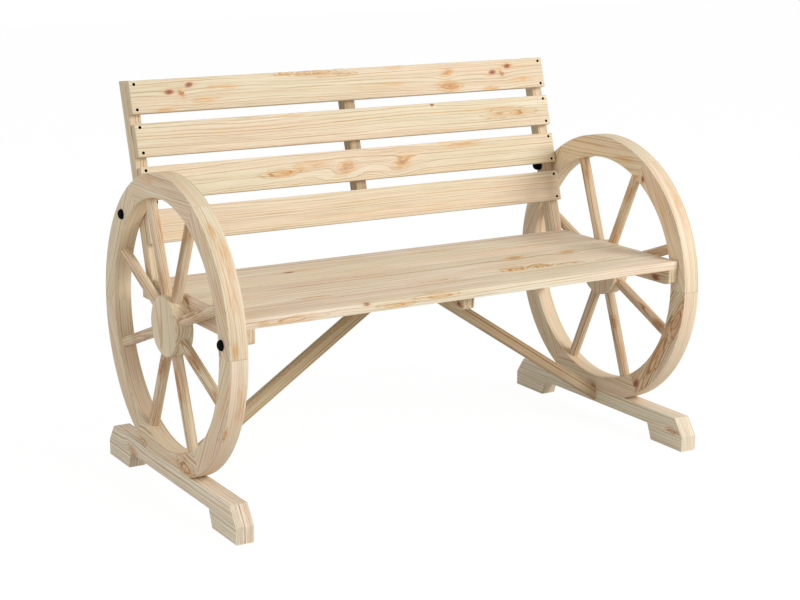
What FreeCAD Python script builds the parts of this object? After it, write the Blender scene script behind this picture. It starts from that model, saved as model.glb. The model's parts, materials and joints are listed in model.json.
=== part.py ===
import FreeCAD, Part
import os

import Sketcher
from FreeCAD import Placement, Rotation, Vector

# A two-seat garden bench whose ends are wooden wagon wheels.
# X runs to the right, Y to the back and Z up. The origin is on the floor,
# midway between the wheels and under their centres.

FELLOE_COUNT = 6
SPOKE_COUNT = 8
SLAT_COUNT = 4
SIDES = {"left": -1, "right": 1}
BATTENS = {"left": -1, "centre": 0, "right": 1}

# Places of the seat screws, as shares of each board's width from its front edge.
# The centre batten starts further back, so its front board has shares of its own.
SEAT_SCREW_SHARES = {"front": (0.25, 0.75), "middle": (0.25, 0.75), "rear": (0.14, 0.8)}
CENTRE_FRONT_SCREW_SHARES = (0.5, 0.8)

# Places of the two screws of each half-lap, as shares of the batten's height below its top
LAP_SCREW_SHARES = (0.25, 0.7)

# Lengths in millimetres and angles in degrees
SIZES = {
    # Wheels
    "bench_width": 1100,
    "wheel_radius": 300,
    "wheel_thickness": 38,
    "rim_width": 48,
    "rim_easing": 2,
    "flat_depth": 20,
    "hub_radius": 61,
    "hub_easing": 3,
    "spoke_diameter": 22.5,
    "spoke_hub_depth": 18,
    "spoke_rim_depth": 15,
    "spoke_turn": -2.5,
    "felloe_dowel_inset": 16,
    "felloe_dowel_spacing": 16,
    # Base beams
    "beam_length": 620,
    "beam_height": 70,
    "beam_end_height": 33.5,
    "beam_bevel_run": 26,
    "beam_easing": 2,
    "foot_length": 105,
    "recess_height": 35,
    "recess_slope_run": 14,
    "base_screw_spacing": 120,
    # Seat boards: their rise above the wheels' centres, and how far the rear edge keeps inside the rims
    "seat_rise": 48,
    "seat_rear_inset": 122,
    "seat_thickness": 18,
    "front_board_width": 95.6,
    "middle_board_width": 145.2,
    "board_gap": 0.6,
    "board_end_clearance": 2,
    "board_easing": 1.5,
    # Battens under the seat
    "frame_width": 26,
    "frame_easing": 1.5,
    "batten_height": 32,
    "batten_bevel_run": 12,
    "batten_bevel_height": 5,
    "batten_tail": 60,
    "centre_batten_setback": 28,
    "centre_batten_inset": 4,
    # Backrest
    "back_tilt": 16.25,
    "post_gap": 4.9,
    "post_depth": 28,
    "centre_post_foot": 10,
    "slat_start": 86,
    "slat_width": 68,
    "slat_gap": 20,
    "slat_thickness": 18,
    "slat_screw_inset": 8,
    # Braces
    "brace_width": 26,
    "brace_cut_height": 31,
    "brace_easing": 4.5,
    "brace_setback": 7,
    "brace_dowel_rise": 5.5,
    "brace_dowel_depth": 12,
    # Dowels
    "dowel_diameter": 8,
    "dowel_bevel": 1,
    "felloe_dowel_length": 40,
    "brace_dowel_length": 32,
    # Countersunk wood screws
    "frame_screw_diameter": 4.5,
    "frame_screw_head": 9,
    "frame_screw_length": 45,
    "base_screw_diameter": 5,
    "base_screw_head": 10,
    "base_screw_length": 60,
    "slat_screw_diameter": 3.5,
    "slat_screw_head": 6.4,
    "slat_screw_length": 30,
    "post_screw_diameter": 4,
    "post_screw_head": 8,
    "post_screw_length": 40,
    "lap_screw_diameter": 3.5,
    "lap_screw_head": 7,
    "lap_screw_length": 24,
    "hub_screw_height": 12,
    # Coach screws and hanger bolts, each a rim inset out from the rim's inner edge
    "bolt_diameter": 6,
    "bolt_head_diameter": 14,
    "bolt_head_height": 2.8,
    "bolt_end": 3,
    "coach_screw_length": 60,
    "front_rim_inset": 15,
    "front_screw_inset": 10,
    "front_screw_height": 7,
    "rear_rim_inset": 20.5,
    "hanger_rim_inset": 36,
    "hanger_rim_depth": 24,
    "post_bolt_depth": 16,
    # Their washers, nuts and caps
    "washer_diameter": 18.4,
    "washer_thickness": 1.4,
    "nut_corner_diameter": 11.6,
    "nut_height": 5,
    "cap_diameter": 21,
    "cap_wall": 1.2,
    "low_cap_skirt": 2.5,
    "low_cap_height": 8,
    "tall_cap_skirt": 5,
    "tall_cap_height": 17,
    # Clearances of holes, and the overrun of cuts
    "fit_clearance": 0.1,
    "end_clearance": 0.5,
    "cut_overrun": 5,
}

doc = FreeCAD.newDocument("wheel_bench")
sheet = doc.addObject("Spreadsheet::Sheet", "sizes")
for row, (alias, value) in enumerate(SIZES.items(), 1):
    sheet.set(f"A{row}", alias)
    sheet.set(f"B{row}", str(value))
    sheet.setAlias(f"B{row}", alias)
doc.recompute()

# Places that follow from the driving sizes, as expressions
WHEEL_CENTRE = "(sizes.beam_height + sizes.wheel_radius - sizes.flat_depth)"
WHEEL_FACE = "(sizes.bench_width / 2 - sizes.wheel_thickness)"
WHEEL_MIDDLE = "(sizes.bench_width / 2 - sizes.wheel_thickness / 2)"
RIM_INNER = "(sizes.wheel_radius - sizes.rim_width)"
FRAME_FACE = f"({WHEEL_FACE} - sizes.frame_width)"
FRAME_MIDDLE = f"({WHEEL_FACE} - sizes.frame_width / 2)"
BOARD_HALF = f"({WHEEL_FACE} - sizes.board_end_clearance)"
SEAT_UNDERSIDE = f"({WHEEL_CENTRE} + sizes.seat_rise)"
BATTEN_UNDERSIDE = f"({SEAT_UNDERSIDE} - sizes.batten_height)"
FRONT_SCREW_RISE = "(sizes.seat_rise - sizes.batten_height + sizes.front_screw_height)"
FRONT_SCREW_REACH = f"sqrt(({RIM_INNER} + sizes.front_rim_inset)^2 - {FRONT_SCREW_RISE}^2)"
SEAT_FRONT = f"(-{FRONT_SCREW_REACH} - sizes.front_screw_inset)"
MIDDLE_BOARD_FRONT = f"({SEAT_FRONT} + sizes.front_board_width + sizes.board_gap)"
REAR_BOARD_FRONT = f"({MIDDLE_BOARD_FRONT} + sizes.middle_board_width + sizes.board_gap)"
SEAT_REAR = f"({RIM_INNER} - sizes.seat_rear_inset)"
POST_FRONT = f"({SEAT_REAR} + sizes.post_gap)"
SLAT_PITCH = "(sizes.slat_width + sizes.slat_gap)"
SLATS_TOP = f"(sizes.slat_start + {SLAT_COUNT} * {SLAT_PITCH} - sizes.slat_gap)"

# Boards of the seat: the front edge and the width of each
SEAT_BOARDS = {
    "front": (SEAT_FRONT, "sizes.front_board_width"),
    "middle": (MIDDLE_BOARD_FRONT, "sizes.middle_board_width"),
    "rear": (REAR_BOARD_FRONT, f"({SEAT_REAR} - {REAR_BOARD_FRONT})"),
}

nodes = {}
fasteners = {}
holes = {}


def number(text):
    """The value of an expression."""
    return float(sheet.evalExpression(text))


def signed(side, text):
    """A distance from the middle of the bench, negative on the left."""
    return text if side > 0 else f"-({text})"


def on_wheel(radius, angle):
    """Y and Z of a point on a wheel, its angle measured from the top towards the back."""
    return f"({radius}) * sin({angle})", f"{WHEEL_CENTRE} + ({radius}) * cos({angle})"


def on_back(rise, depth):
    """Y and Z of a point at a rise up the tilted posts and a depth behind their front faces."""
    y = f"{POST_FRONT} + ({rise}) * sin(sizes.back_tilt) + ({depth}) * cos(sizes.back_tilt)"
    z = f"{SEAT_UNDERSIDE} + ({rise}) * cos(sizes.back_tilt) - ({depth}) * sin(sizes.back_tilt)"
    return y, z


def rise_on_rim(inset):
    """The rise up a post where the line of its bolts is an inset out from the rim's inner edge."""
    aside = (f"({POST_FRONT} * cos(sizes.back_tilt) - sizes.seat_rise * sin(sizes.back_tilt)"
             " + sizes.post_bolt_depth)")
    below = f"({POST_FRONT} * sin(sizes.back_tilt) + sizes.seat_rise * cos(sizes.back_tilt))"
    return f"sqrt(({RIM_INNER} + {inset})^2 - {aside}^2) - {below}"


def post_line(height, depth):
    """Y of a line up the post at a height and a depth behind the post's front face."""
    lean = f"({height} - {SEAT_UNDERSIDE}) * tan(sizes.back_tilt)"
    return f"{POST_FRONT} + {lean} + ({depth}) / cos(sizes.back_tilt)"


def place(thing, x="0", y="0", z="0", turn=None, lie=None):
    """Puts a thing at a point, turned about X by an angle or with its Z laid along X."""
    if turn is not None:
        thing.Placement = Placement(Vector(), Rotation(Vector(1, 0, 0), 1))
        thing.setExpression("Placement.Rotation.Angle", turn)
    if lie is not None:
        thing.Placement = Placement(Vector(), Rotation(Vector(0, 0, 1), Vector(lie, 0, 0)))
    for axis, text in zip("xyz", (x, y, z)):
        if text != "0":
            thing.setExpression(f"Placement.Base.{axis}", text)
    return thing


def new_sketch(body, plane, name):
    """An empty sketch on one of a body's origin planes."""
    sketch = body.newObject("Sketcher::SketchObject", name)
    support = next(part for part in body.Origin.OriginFeatures if part.Role == plane)
    sketch.AttachmentSupport = [(support, "")]
    sketch.MapMode = "FlatFace"
    return sketch


def constrain(sketch, kind, *parts, size=None):
    """Adds a constraint to a sketch, bound to an expression where it has a size."""
    if size is None:
        sketch.addConstraint(Sketcher.Constraint(kind, *parts))
        return
    angle = kind == "Angle"
    value = number(f"({size}) * pi / 180") if angle else number(size)
    index = sketch.addConstraint(Sketcher.Constraint(kind, *parts, value))
    sketch.setExpression(f"Constraints[{index}]", size)


def polygon(body, plane, points, name):
    """A closed outline of straight lines whose corners follow expressions."""
    sketch = new_sketch(body, plane, name)
    corners = [Vector(number(across), number(up), 0) for across, up in points]
    ends = corners[1:] + corners[:1]
    for start, end in zip(corners, ends):
        sketch.addGeometry(Part.LineSegment(start, end), False)
    for index, (across, up) in enumerate(points):
        constrain(sketch, "Coincident", index, 2, (index + 1) % len(points), 1)
        constrain(sketch, "DistanceX", -1, 1, index, 1, size=across)
        constrain(sketch, "DistanceY", -1, 1, index, 1, size=up)
    doc.recompute()
    return sketch


def padded(body, sketch, length, name, symmetric=True):
    """A pad of a sketch, to both sides of it or to one."""
    pad = body.newObject("PartDesign::Pad", name)
    pad.Profile = sketch
    if symmetric:
        pad.SideType = "Symmetric"
    pad.setExpression("Length", length)
    doc.recompute()
    return pad


def cut_through(body, sketch, name, reverse=False, both=None):
    """A pocket from the sketch to one side, or to both where it has a length."""
    before = body.Shape.Volume
    pocket = body.newObject("PartDesign::Pocket", name)
    pocket.Profile = sketch
    if both is None:
        pocket.Type = "ThroughAll"
        pocket.Reversed = reverse
    else:
        pocket.SideType = "Symmetric"
        pocket.setExpression("Length", both)
    doc.recompute()
    if pocket.Shape.Volume >= before:
        raise RuntimeError(f"{name} cuts nothing")
    return pocket


def eased(body, easing, name, chosen=None):
    """Rounded edges on the last feature of a body: all of them, or those that are chosen."""
    base = body.Tip
    edges = enumerate(base.Shape.Edges, 1)
    names = [f"Edge{index}" for index, edge in edges if chosen is None or chosen(edge)]
    fillet = body.newObject("PartDesign::Fillet", name)
    fillet.Base = (base, names)
    fillet.setExpression("Radius", easing)
    doc.recompute()
    return fillet


def is_arc(edge):
    """Whether an edge is part of a circle."""
    return isinstance(edge.Curve, Part.Circle)


def runs_across(edge):
    """Whether an edge runs mainly along the bench's width."""
    span = edge.Vertexes[-1].Point - edge.Vertexes[0].Point
    return abs(span.x) > max(abs(span.y), abs(span.z))


def runs_round(edge):
    """Whether an edge lies in one of the two flat sides of a beam."""
    return not runs_across(edge)


def turned(points, name):
    """A body turned about Z from an outline of radii and heights."""
    body = doc.addObject("PartDesign::Body", name)
    sketch = polygon(body, "XZ_Plane", points, f"{name}_outline")
    turning = body.newObject("PartDesign::Revolution", f"{name}_turning")
    turning.Profile = sketch
    turning.ReferenceAxis = (sketch, ["V_Axis"])
    turning.Angle = 360
    doc.recompute()
    return body


def cylinder(radius, height, name):
    """A plain cylinder along Z."""
    thing = doc.addObject("Part::Cylinder", name)
    thing.setExpression("Radius", radius)
    thing.setExpression("Height", height)
    return thing


def copy_of(form, name, **where):
    """A placed copy of a form."""
    link = doc.addObject("App::Link", name)
    link.LinkedObject = form
    return place(link, **where)


def fasten(group, form, hole, keys, **where):
    """Adds a fastener to its group, and its hole to the lists of the pieces that it joins."""
    copies = fasteners.setdefault(group, [])
    copies.append(copy_of(form, f"{group}_copy", **where))
    if hole is not None:
        drilled = copy_of(hole, f"{group}_hole", **where)
        for key in keys:
            holes.setdefault(key, []).append(drilled)


def drill(blank, name, keys):
    """The finished piece: a blank with the holes of the lists that are named."""
    tools = doc.addObject("Part::Compound", f"{name}_holes")
    tools.Links = [hole for key in keys for hole in holes[key]]
    piece = doc.addObject("Part::Cut", name)
    piece.Base = blank
    piece.Tool = tools
    nodes[name] = piece


def screw_forms(name, diameter, head, length):
    """A countersunk wood screw with its head at the origin, pointing down, and its hole."""
    radius = f"{diameter} / 2"
    head_radius = f"{head} / 2"
    cone = f"({head_radius} - {radius})"
    screw = turned(
        [
            ("0", "0"),
            (head_radius, "0"),
            (radius, f"-{cone}"),
            (radius, f"-{length} + {diameter}"),
            ("0", f"-{length}"),
        ],
        f"{name}_form",
    )
    bore = f"({radius} + sizes.fit_clearance)"
    bottom = f"-{length} - sizes.end_clearance"
    hole = turned(
        [
            ("0", "sizes.cut_overrun"),
            (head_radius, "sizes.cut_overrun"),
            (head_radius, "0"),
            (bore, f"-{cone} + sizes.fit_clearance"),
            (bore, bottom),
            ("0", bottom),
        ],
        f"{name}_hole_form",
    )
    return screw, hole


def dowel_forms(name, length):
    """A dowel that stands on the origin, and its hole."""
    radius = "sizes.dowel_diameter / 2"
    narrow = f"{radius} - sizes.dowel_bevel"
    dowel = turned(
        [
            ("0", "0"),
            (narrow, "0"),
            (radius, "sizes.dowel_bevel"),
            (radius, f"{length} - sizes.dowel_bevel"),
            (narrow, length),
            ("0", length),
        ],
        f"{name}_form",
    )
    bore = f"{radius} + sizes.fit_clearance"
    hole = cylinder(bore, f"{length} + 2 * sizes.end_clearance", f"{name}_hole_blank")
    hole.setExpression("Placement.Base.z", "-sizes.end_clearance")
    grouped = doc.addObject("Part::Compound", f"{name}_hole_form")
    grouped.Links = [hole]
    return dowel, grouped


def pointed_forms(name, top, length):
    """A turned pin with a pointed end below the origin and a given outline above, and its hole."""
    radius = "sizes.bolt_diameter / 2"
    point = [(radius, f"-{length} + sizes.bolt_diameter"), ("0", f"-{length}")]
    pin = turned(top + point, f"{name}_form")
    bore = f"({radius} + sizes.fit_clearance)"
    bottom = f"-{length} - sizes.end_clearance"
    above = "sizes.cut_overrun + sizes.nut_height"
    outline = [("0", above), (bore, above), (bore, bottom), ("0", bottom)]
    return pin, turned(outline, f"{name}_hole_form")


def coach_screw_forms():
    """A coach screw with its domed head on a washer that lies on the origin, and its hole."""
    head_radius = "sizes.bolt_head_diameter / 2"
    seat = "sizes.washer_thickness"
    crown = "(sizes.washer_thickness + sizes.bolt_head_height)"
    top = [("0", crown), (head_radius, crown), (head_radius, seat), ("sizes.bolt_diameter / 2", seat)]
    return pointed_forms("coach_screw", top, "sizes.coach_screw_length")


def hanger_bolt_forms():
    """A hanger bolt that stands out of the origin as far as a washer and a nut need, and its hole."""
    end = "(sizes.washer_thickness + sizes.nut_height + sizes.bolt_end)"
    length = "(sizes.frame_width + sizes.hanger_rim_depth)"
    return pointed_forms("hanger_bolt", [("0", end), ("sizes.bolt_diameter / 2", end)], length)


def half_ball(radius, height, level, name):
    """The upper half of a flattened ball whose middle lies at a level."""
    ball = doc.addObject("Part::Ellipsoid", name)
    ball.setExpression("Radius1", height)
    ball.setExpression("Radius2", radius)
    ball.Angle1 = 0
    ball.setExpression("Placement.Base.z", level)
    return ball


def cap_form(name, skirt, height):
    """A hollow domed cap that stands on the origin and clips over a washer."""
    outer_radius = "sizes.cap_diameter / 2"
    inner_radius = f"({outer_radius} - sizes.cap_wall)"
    rise = f"({height} - {skirt})"
    outside = doc.addObject("Part::Fuse", f"{name}_outside")
    outside.Base = cylinder(outer_radius, skirt, f"{name}_skirt")
    outside.Tool = half_ball(outer_radius, rise, skirt, f"{name}_dome")
    inside = doc.addObject("Part::Fuse", f"{name}_inside")
    inside.Base = cylinder(inner_radius, skirt, f"{name}_bore")
    inside.Tool = half_ball(inner_radius, f"{rise} - sizes.cap_wall", skirt, f"{name}_hollow")
    cap = doc.addObject("Part::Cut", f"{name}_form")
    cap.Base = outside
    cap.Tool = inside
    return cap


def nut_form():
    """A hexagon nut above a washer that lies on the origin."""
    block = doc.addObject("Part::Prism", "nut_block")
    block.Polygon = 6
    block.setExpression("Circumradius", "sizes.nut_corner_diameter / 2")
    block.setExpression("Height", "sizes.nut_height")
    block.setExpression("Placement.Base.z", "sizes.washer_thickness")
    bore_radius = "sizes.bolt_diameter / 2 + sizes.fit_clearance"
    bore = cylinder(bore_radius, "sizes.cut_overrun + sizes.nut_height", "nut_bore")
    nut = doc.addObject("Part::Cut", "nut_form")
    nut.Base = block
    nut.Tool = bore
    return nut


def washer_form():
    """A flat washer that lies on the origin."""
    hole = "(sizes.bolt_diameter / 2 + sizes.fit_clearance)"
    edge = "sizes.washer_diameter / 2"
    top = "sizes.washer_thickness"
    return turned([(hole, "0"), (edge, "0"), (edge, top), (hole, top)], "washer_form")


# Fasteners: each is placed once, and the same place gives the holes of the pieces it joins

frame_screw, frame_screw_hole = screw_forms(
    "frame_screw", "sizes.frame_screw_diameter", "sizes.frame_screw_head", "sizes.frame_screw_length")
base_screw, base_screw_hole = screw_forms(
    "base_screw", "sizes.base_screw_diameter", "sizes.base_screw_head", "sizes.base_screw_length")
slat_screw, slat_screw_hole = screw_forms(
    "slat_screw", "sizes.slat_screw_diameter", "sizes.slat_screw_head", "sizes.slat_screw_length")
post_screw, post_screw_hole = screw_forms(
    "post_screw", "sizes.post_screw_diameter", "sizes.post_screw_head", "sizes.post_screw_length")
lap_screw, lap_screw_hole = screw_forms(
    "lap_screw", "sizes.lap_screw_diameter", "sizes.lap_screw_head", "sizes.lap_screw_length")
felloe_dowel, felloe_dowel_hole = dowel_forms("felloe_dowel", "sizes.felloe_dowel_length")
brace_dowel, brace_dowel_hole = dowel_forms("brace_dowel", "sizes.brace_dowel_length")
coach_screw, coach_screw_hole = coach_screw_forms()
hanger_bolt, hanger_bolt_hole = hanger_bolt_forms()
washer = washer_form()
nut = nut_form()
low_cap = cap_form("low_cap", "sizes.low_cap_skirt", "sizes.low_cap_height")
tall_cap = cap_form("tall_cap", "sizes.tall_cap_skirt", "sizes.tall_cap_height")

# Two dowels in each joint of the rim, side by side across its thickness
for word, side in SIDES.items():
    for joint in range(FELLOE_COUNT):
        angle = f"({joint} * 360 / {FELLOE_COUNT} + 180 / {FELLOE_COUNT})"
        y, z = on_wheel("sizes.wheel_radius - sizes.felloe_dowel_inset", angle)
        y = f"{y} - sizes.felloe_dowel_length / 2 * cos({angle})"
        z = f"{z} + sizes.felloe_dowel_length / 2 * sin({angle})"
        for across in (-1, 1):
            x = f"{signed(side, WHEEL_MIDDLE)} + {across} * sizes.felloe_dowel_spacing / 2"
            fasten("felloe_dowels", felloe_dowel, felloe_dowel_hole, [f"{word}_wheel"],
                   x=x, y=y, z=z, turn=f"-({angle} + 90)")

# Screws from each beam's recess up into the lowest felloe
for word, side in SIDES.items():
    for along in (-1, 1):
        fasten("base_screws", base_screw, base_screw_hole, [f"{word}_wheel", f"{word}_beam"],
               x=signed(side, WHEEL_MIDDLE), y=f"{along} * sizes.base_screw_spacing / 2",
               z="sizes.recess_height", turn="180")

# A screw through each side batten into the hub
for word, side in SIDES.items():
    fasten("frame_screws", frame_screw, frame_screw_hole, [f"{word}_wheel", f"{word}_batten"],
           x=signed(side, FRAME_FACE), z=f"{BATTEN_UNDERSIDE} + sizes.hub_screw_height", lie=-side)

# Screws up through the battens into the seat boards
for batten, side in BATTENS.items():
    for board, (front, width) in SEAT_BOARDS.items():
        shares = SEAT_SCREW_SHARES[board]
        if batten == "centre" and board == "front":
            shares = CENTRE_FRONT_SCREW_SHARES
        for share in shares:
            fasten("frame_screws", frame_screw, frame_screw_hole, [f"{batten}_batten", f"{board}_board"],
                   x=f"{side} * {FRAME_MIDDLE}", y=f"{front} + {share} * {width}",
                   z=BATTEN_UNDERSIDE, turn="180")

# Screws through the half-laps of the side posts and battens
for word, side in SIDES.items():
    for share in LAP_SCREW_SHARES:
        y, z = on_back(f"-{share} * sizes.batten_height", "sizes.post_depth / 2")
        fasten("lap_screws", lap_screw, lap_screw_hole, [f"{word}_batten", f"{word}_post"],
               x=signed(side, FRAME_FACE), y=y, z=z, lie=-side)

# Screws from the front through each slat end into the side posts
for word, side in SIDES.items():
    for slat in range(1, SLAT_COUNT + 1):
        start = f"(sizes.slat_start + {SLAT_COUNT - slat} * {SLAT_PITCH})"
        for up in ("sizes.slat_screw_inset", "sizes.slat_width - sizes.slat_screw_inset"):
            y, z = on_back(f"{start} + {up}", "-sizes.slat_thickness")
            fasten("slat_screws", slat_screw, slat_screw_hole, [f"{word}_post", f"slat_{slat}"],
                   x=signed(side, FRAME_MIDDLE), y=y, z=z, turn="90 - sizes.back_tilt")

# Screws from behind through the centre post into each slat
for slat in range(1, SLAT_COUNT + 1):
    rise = f"sizes.slat_start + {SLAT_COUNT - slat} * {SLAT_PITCH} + sizes.slat_width / 2"
    y, z = on_back(rise, "sizes.post_depth")
    fasten("centre_post_screws", post_screw, post_screw_hole, ["centre_post", f"slat_{slat}"],
           y=y, z=z, turn="-(90 + sizes.back_tilt)")

# Dowels at both ends of each brace
for word, side in SIDES.items():
    fasten("brace_dowels", brace_dowel, brace_dowel_hole, [f"{word}_beam", f"{word}_brace"],
           x=signed(side, f"{WHEEL_FACE} - sizes.brace_dowel_length + sizes.brace_dowel_depth"),
           y="sizes.brace_setback",
           z="sizes.beam_height - sizes.brace_cut_height / 2 + sizes.brace_dowel_rise", lie=side)
    fasten("brace_dowels", brace_dowel, brace_dowel_hole, ["centre_batten", f"{word}_brace"],
           x=signed(side, "sizes.frame_width / 2 - sizes.brace_dowel_depth"),
           y="sizes.brace_setback",
           z=f"{SEAT_UNDERSIDE} - sizes.brace_cut_height / 2 - sizes.brace_dowel_rise", lie=side)

# Capped coach screws from outside through each rim, into the batten's front end and the post,
# and a hanger bolt from the post into the rim, with its nut and cap on the post's inner face
for word, side in SIDES.items():
    outside = {"x": signed(side, "sizes.bench_width / 2"), "lie": side}
    front = {"y": f"-{FRONT_SCREW_REACH}", "z": f"{WHEEL_CENTRE} + {FRONT_SCREW_RISE}", **outside}
    rear_y, rear_z = on_back(rise_on_rim("sizes.rear_rim_inset"), "sizes.post_bolt_depth")
    rear = {"y": rear_y, "z": rear_z, **outside}
    for piece, where in (("batten", front), ("post", rear)):
        fasten("coach_screws", coach_screw, coach_screw_hole, [f"{word}_wheel", f"{word}_{piece}"], **where)
        fasten("bolt_washers", washer, None, [], **where)
        fasten("low_caps", low_cap, None, [], **where)
    y, z = on_back(rise_on_rim("sizes.hanger_rim_inset"), "sizes.post_bolt_depth")
    inside = {"x": signed(side, FRAME_FACE), "y": y, "z": z, "lie": -side}
    fasten("hanger_bolts", hanger_bolt, hanger_bolt_hole, [f"{word}_wheel", f"{word}_post"], **inside)
    for group, form in (("bolt_washers", washer), ("bolt_nuts", nut), ("tall_caps", tall_cap)):
        fasten(group, form, None, [], **inside)

# Wheels: spokes in sockets of the hub and the rim
spoke_radius = "(sizes.spoke_diameter / 2)"
spoke_start = "(sizes.hub_radius - sizes.spoke_hub_depth)"
spoke_length = f"({RIM_INNER} + sizes.spoke_rim_depth - {spoke_start})"
socket_radius = f"{spoke_radius} + sizes.fit_clearance"
socket = cylinder(socket_radius, f"{spoke_length} + 2 * sizes.end_clearance", "spoke_socket")
for word, side in SIDES.items():
    for spoke in range(1, SPOKE_COUNT + 1):
        angle = f"({spoke} * 360 / {SPOKE_COUNT} - 180 / {SPOKE_COUNT} + sizes.spoke_turn)"
        y, z = on_wheel(spoke_start, angle)
        stick = cylinder(spoke_radius, spoke_length, f"{word}_spoke_{spoke}")
        nodes[stick.Label] = place(stick, x=signed(side, WHEEL_MIDDLE), y=y, z=z, turn=f"-{angle}")
        y, z = on_wheel(f"{spoke_start} - sizes.end_clearance", angle)
        hole = copy_of(socket, "spoke_hole", x=signed(side, WHEEL_MIDDLE), y=y, z=z, turn=f"-{angle}")
        holes[f"{word}_wheel"].append(hole)


def hub(word, side):
    """A round hub as thick as the rim."""
    body = doc.addObject("PartDesign::Body", f"{word}_hub_blank")
    sketch = new_sketch(body, "YZ_Plane", f"{word}_hub_outline")
    sketch.addGeometry(Part.Circle(Vector(), Vector(0, 0, 1), number("sizes.hub_radius")), False)
    constrain(sketch, "Coincident", 0, 3, -1, 1)
    constrain(sketch, "Radius", 0, size="sizes.hub_radius")
    padded(body, sketch, "sizes.wheel_thickness", f"{word}_hub_disc")
    eased(body, "sizes.hub_easing", f"{word}_hub_easing", is_arc)
    place(body, x=signed(side, WHEEL_MIDDLE), z=WHEEL_CENTRE)
    drill(body, f"{word}_hub", [f"{word}_wheel"])


def felloe(word, side, index):
    """One length of rim, drawn at the top of the wheel and turned to its place."""
    name = f"{word}_felloe_{index}"
    body = doc.addObject("PartDesign::Body", f"{name}_blank")
    sketch = new_sketch(body, "YZ_Plane", f"{name}_outline")
    outer = number("sizes.wheel_radius")
    inner = number(RIM_INNER)
    first = f"(90 - 180 / {FELLOE_COUNT})"
    last = f"(90 + 180 / {FELLOE_COUNT})"
    low = number(f"{first} * pi / 180")
    high = number(f"{last} * pi / 180")
    outer_arc = Part.ArcOfCircle(Part.Circle(Vector(), Vector(0, 0, 1), outer), low, high)
    inner_arc = Part.ArcOfCircle(Part.Circle(Vector(), Vector(0, 0, 1), inner), low, high)
    sketch.addGeometry(outer_arc, False)
    sketch.addGeometry(Part.LineSegment(outer_arc.EndPoint, inner_arc.EndPoint), False)
    sketch.addGeometry(inner_arc, False)
    sketch.addGeometry(Part.LineSegment(inner_arc.StartPoint, outer_arc.StartPoint), False)
    constrain(sketch, "Coincident", 0, 2, 1, 1)
    constrain(sketch, "Coincident", 1, 2, 2, 2)
    constrain(sketch, "Coincident", 2, 1, 3, 1)
    constrain(sketch, "Coincident", 3, 2, 0, 1)
    constrain(sketch, "Coincident", 0, 3, -1, 1)
    constrain(sketch, "Coincident", 2, 3, -1, 1)
    constrain(sketch, "PointOnObject", -1, 1, 1)
    constrain(sketch, "PointOnObject", -1, 1, 3)
    constrain(sketch, "Radius", 0, size="sizes.wheel_radius")
    constrain(sketch, "Radius", 2, size=RIM_INNER)
    constrain(sketch, "Angle", 1, size=f"{last} - 180")
    constrain(sketch, "Angle", 3, size=first)
    padded(body, sketch, "sizes.wheel_thickness", f"{name}_arch")
    eased(body, "sizes.rim_easing", f"{name}_easing", is_arc)
    if 2 * index == FELLOE_COUNT:
        flat = "sizes.wheel_radius - sizes.flat_depth"
        above = "sizes.wheel_radius + sizes.cut_overrun"
        corners = [("-sizes.wheel_radius", flat), ("sizes.wheel_radius", flat),
                   ("sizes.wheel_radius", above), ("-sizes.wheel_radius", above)]
        outline = polygon(body, "YZ_Plane", corners, f"{name}_flat_outline")
        cut_through(body, outline, f"{name}_flat", both="sizes.wheel_thickness + 2 * sizes.cut_overrun")
    place(body, x=signed(side, WHEEL_MIDDLE), z=WHEEL_CENTRE, turn=f"-{index} * 360 / {FELLOE_COUNT}")
    drill(body, name, [f"{word}_wheel"])


def beam(word, side):
    """The beam under a wheel: two feet, a recess between them and bevelled ends."""
    half = "sizes.beam_length / 2"
    inner_foot = f"({half} - sizes.foot_length)"
    recess = f"({inner_foot} - sizes.recess_slope_run)"
    bevel = f"({half} - sizes.beam_bevel_run)"
    rear = [
        (half, "0"),
        (half, "sizes.beam_end_height"),
        (bevel, "sizes.beam_height"),
    ]
    under = [
        (recess, "sizes.recess_height"),
        (inner_foot, "0"),
    ]
    front = [(f"-({across})", up) for across, up in reversed(rear)]
    under_front = [(f"-{across}", up) for across, up in reversed(under)]
    body = doc.addObject("PartDesign::Body", f"{word}_beam_blank")
    sketch = polygon(body, "YZ_Plane", rear + front + under_front + under, f"{word}_beam_outline")
    padded(body, sketch, "sizes.wheel_thickness", f"{word}_beam_board")
    eased(body, "sizes.beam_easing", f"{word}_beam_easing", runs_round)
    place(body, x=signed(side, WHEEL_MIDDLE))
    drill(body, f"{word}_beam", [f"{word}_beam"])


def batten_blank(word, front, rear):
    """A batten under the seat, bevelled below its front end."""
    points = [
        (front, SEAT_UNDERSIDE),
        (rear, SEAT_UNDERSIDE),
        (rear, BATTEN_UNDERSIDE),
        (f"{front} + sizes.batten_bevel_run", BATTEN_UNDERSIDE),
        (front, f"{BATTEN_UNDERSIDE} + sizes.batten_bevel_height"),
    ]
    body = doc.addObject("PartDesign::Body", f"{word}_batten_blank")
    sketch = polygon(body, "YZ_Plane", points, f"{word}_batten_outline")
    padded(body, sketch, "sizes.frame_width", f"{word}_batten_bar")
    eased(body, "sizes.frame_easing", f"{word}_batten_easing")
    return body


def side_batten(word, side):
    """A batten beside a wheel, notched to half its width for the post."""
    body = batten_blank(word, SEAT_FRONT, f"{SEAT_REAR} + sizes.batten_tail")
    below = f"({BATTEN_UNDERSIDE} - sizes.cut_overrun)"
    above = f"({SEAT_UNDERSIDE} + sizes.cut_overrun)"
    notch = [(post_line(height, depth), height) for height, depth in (
        (below, "0"), (below, "sizes.post_depth"), (above, "sizes.post_depth"), (above, "0"))]
    sketch = polygon(body, "YZ_Plane", notch, f"{word}_notch_outline")
    cut_through(body, sketch, f"{word}_notch", reverse=side < 0)
    place(body, x=signed(side, FRAME_MIDDLE))
    drill(body, f"{word}_batten", [f"{word}_batten"])


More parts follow.
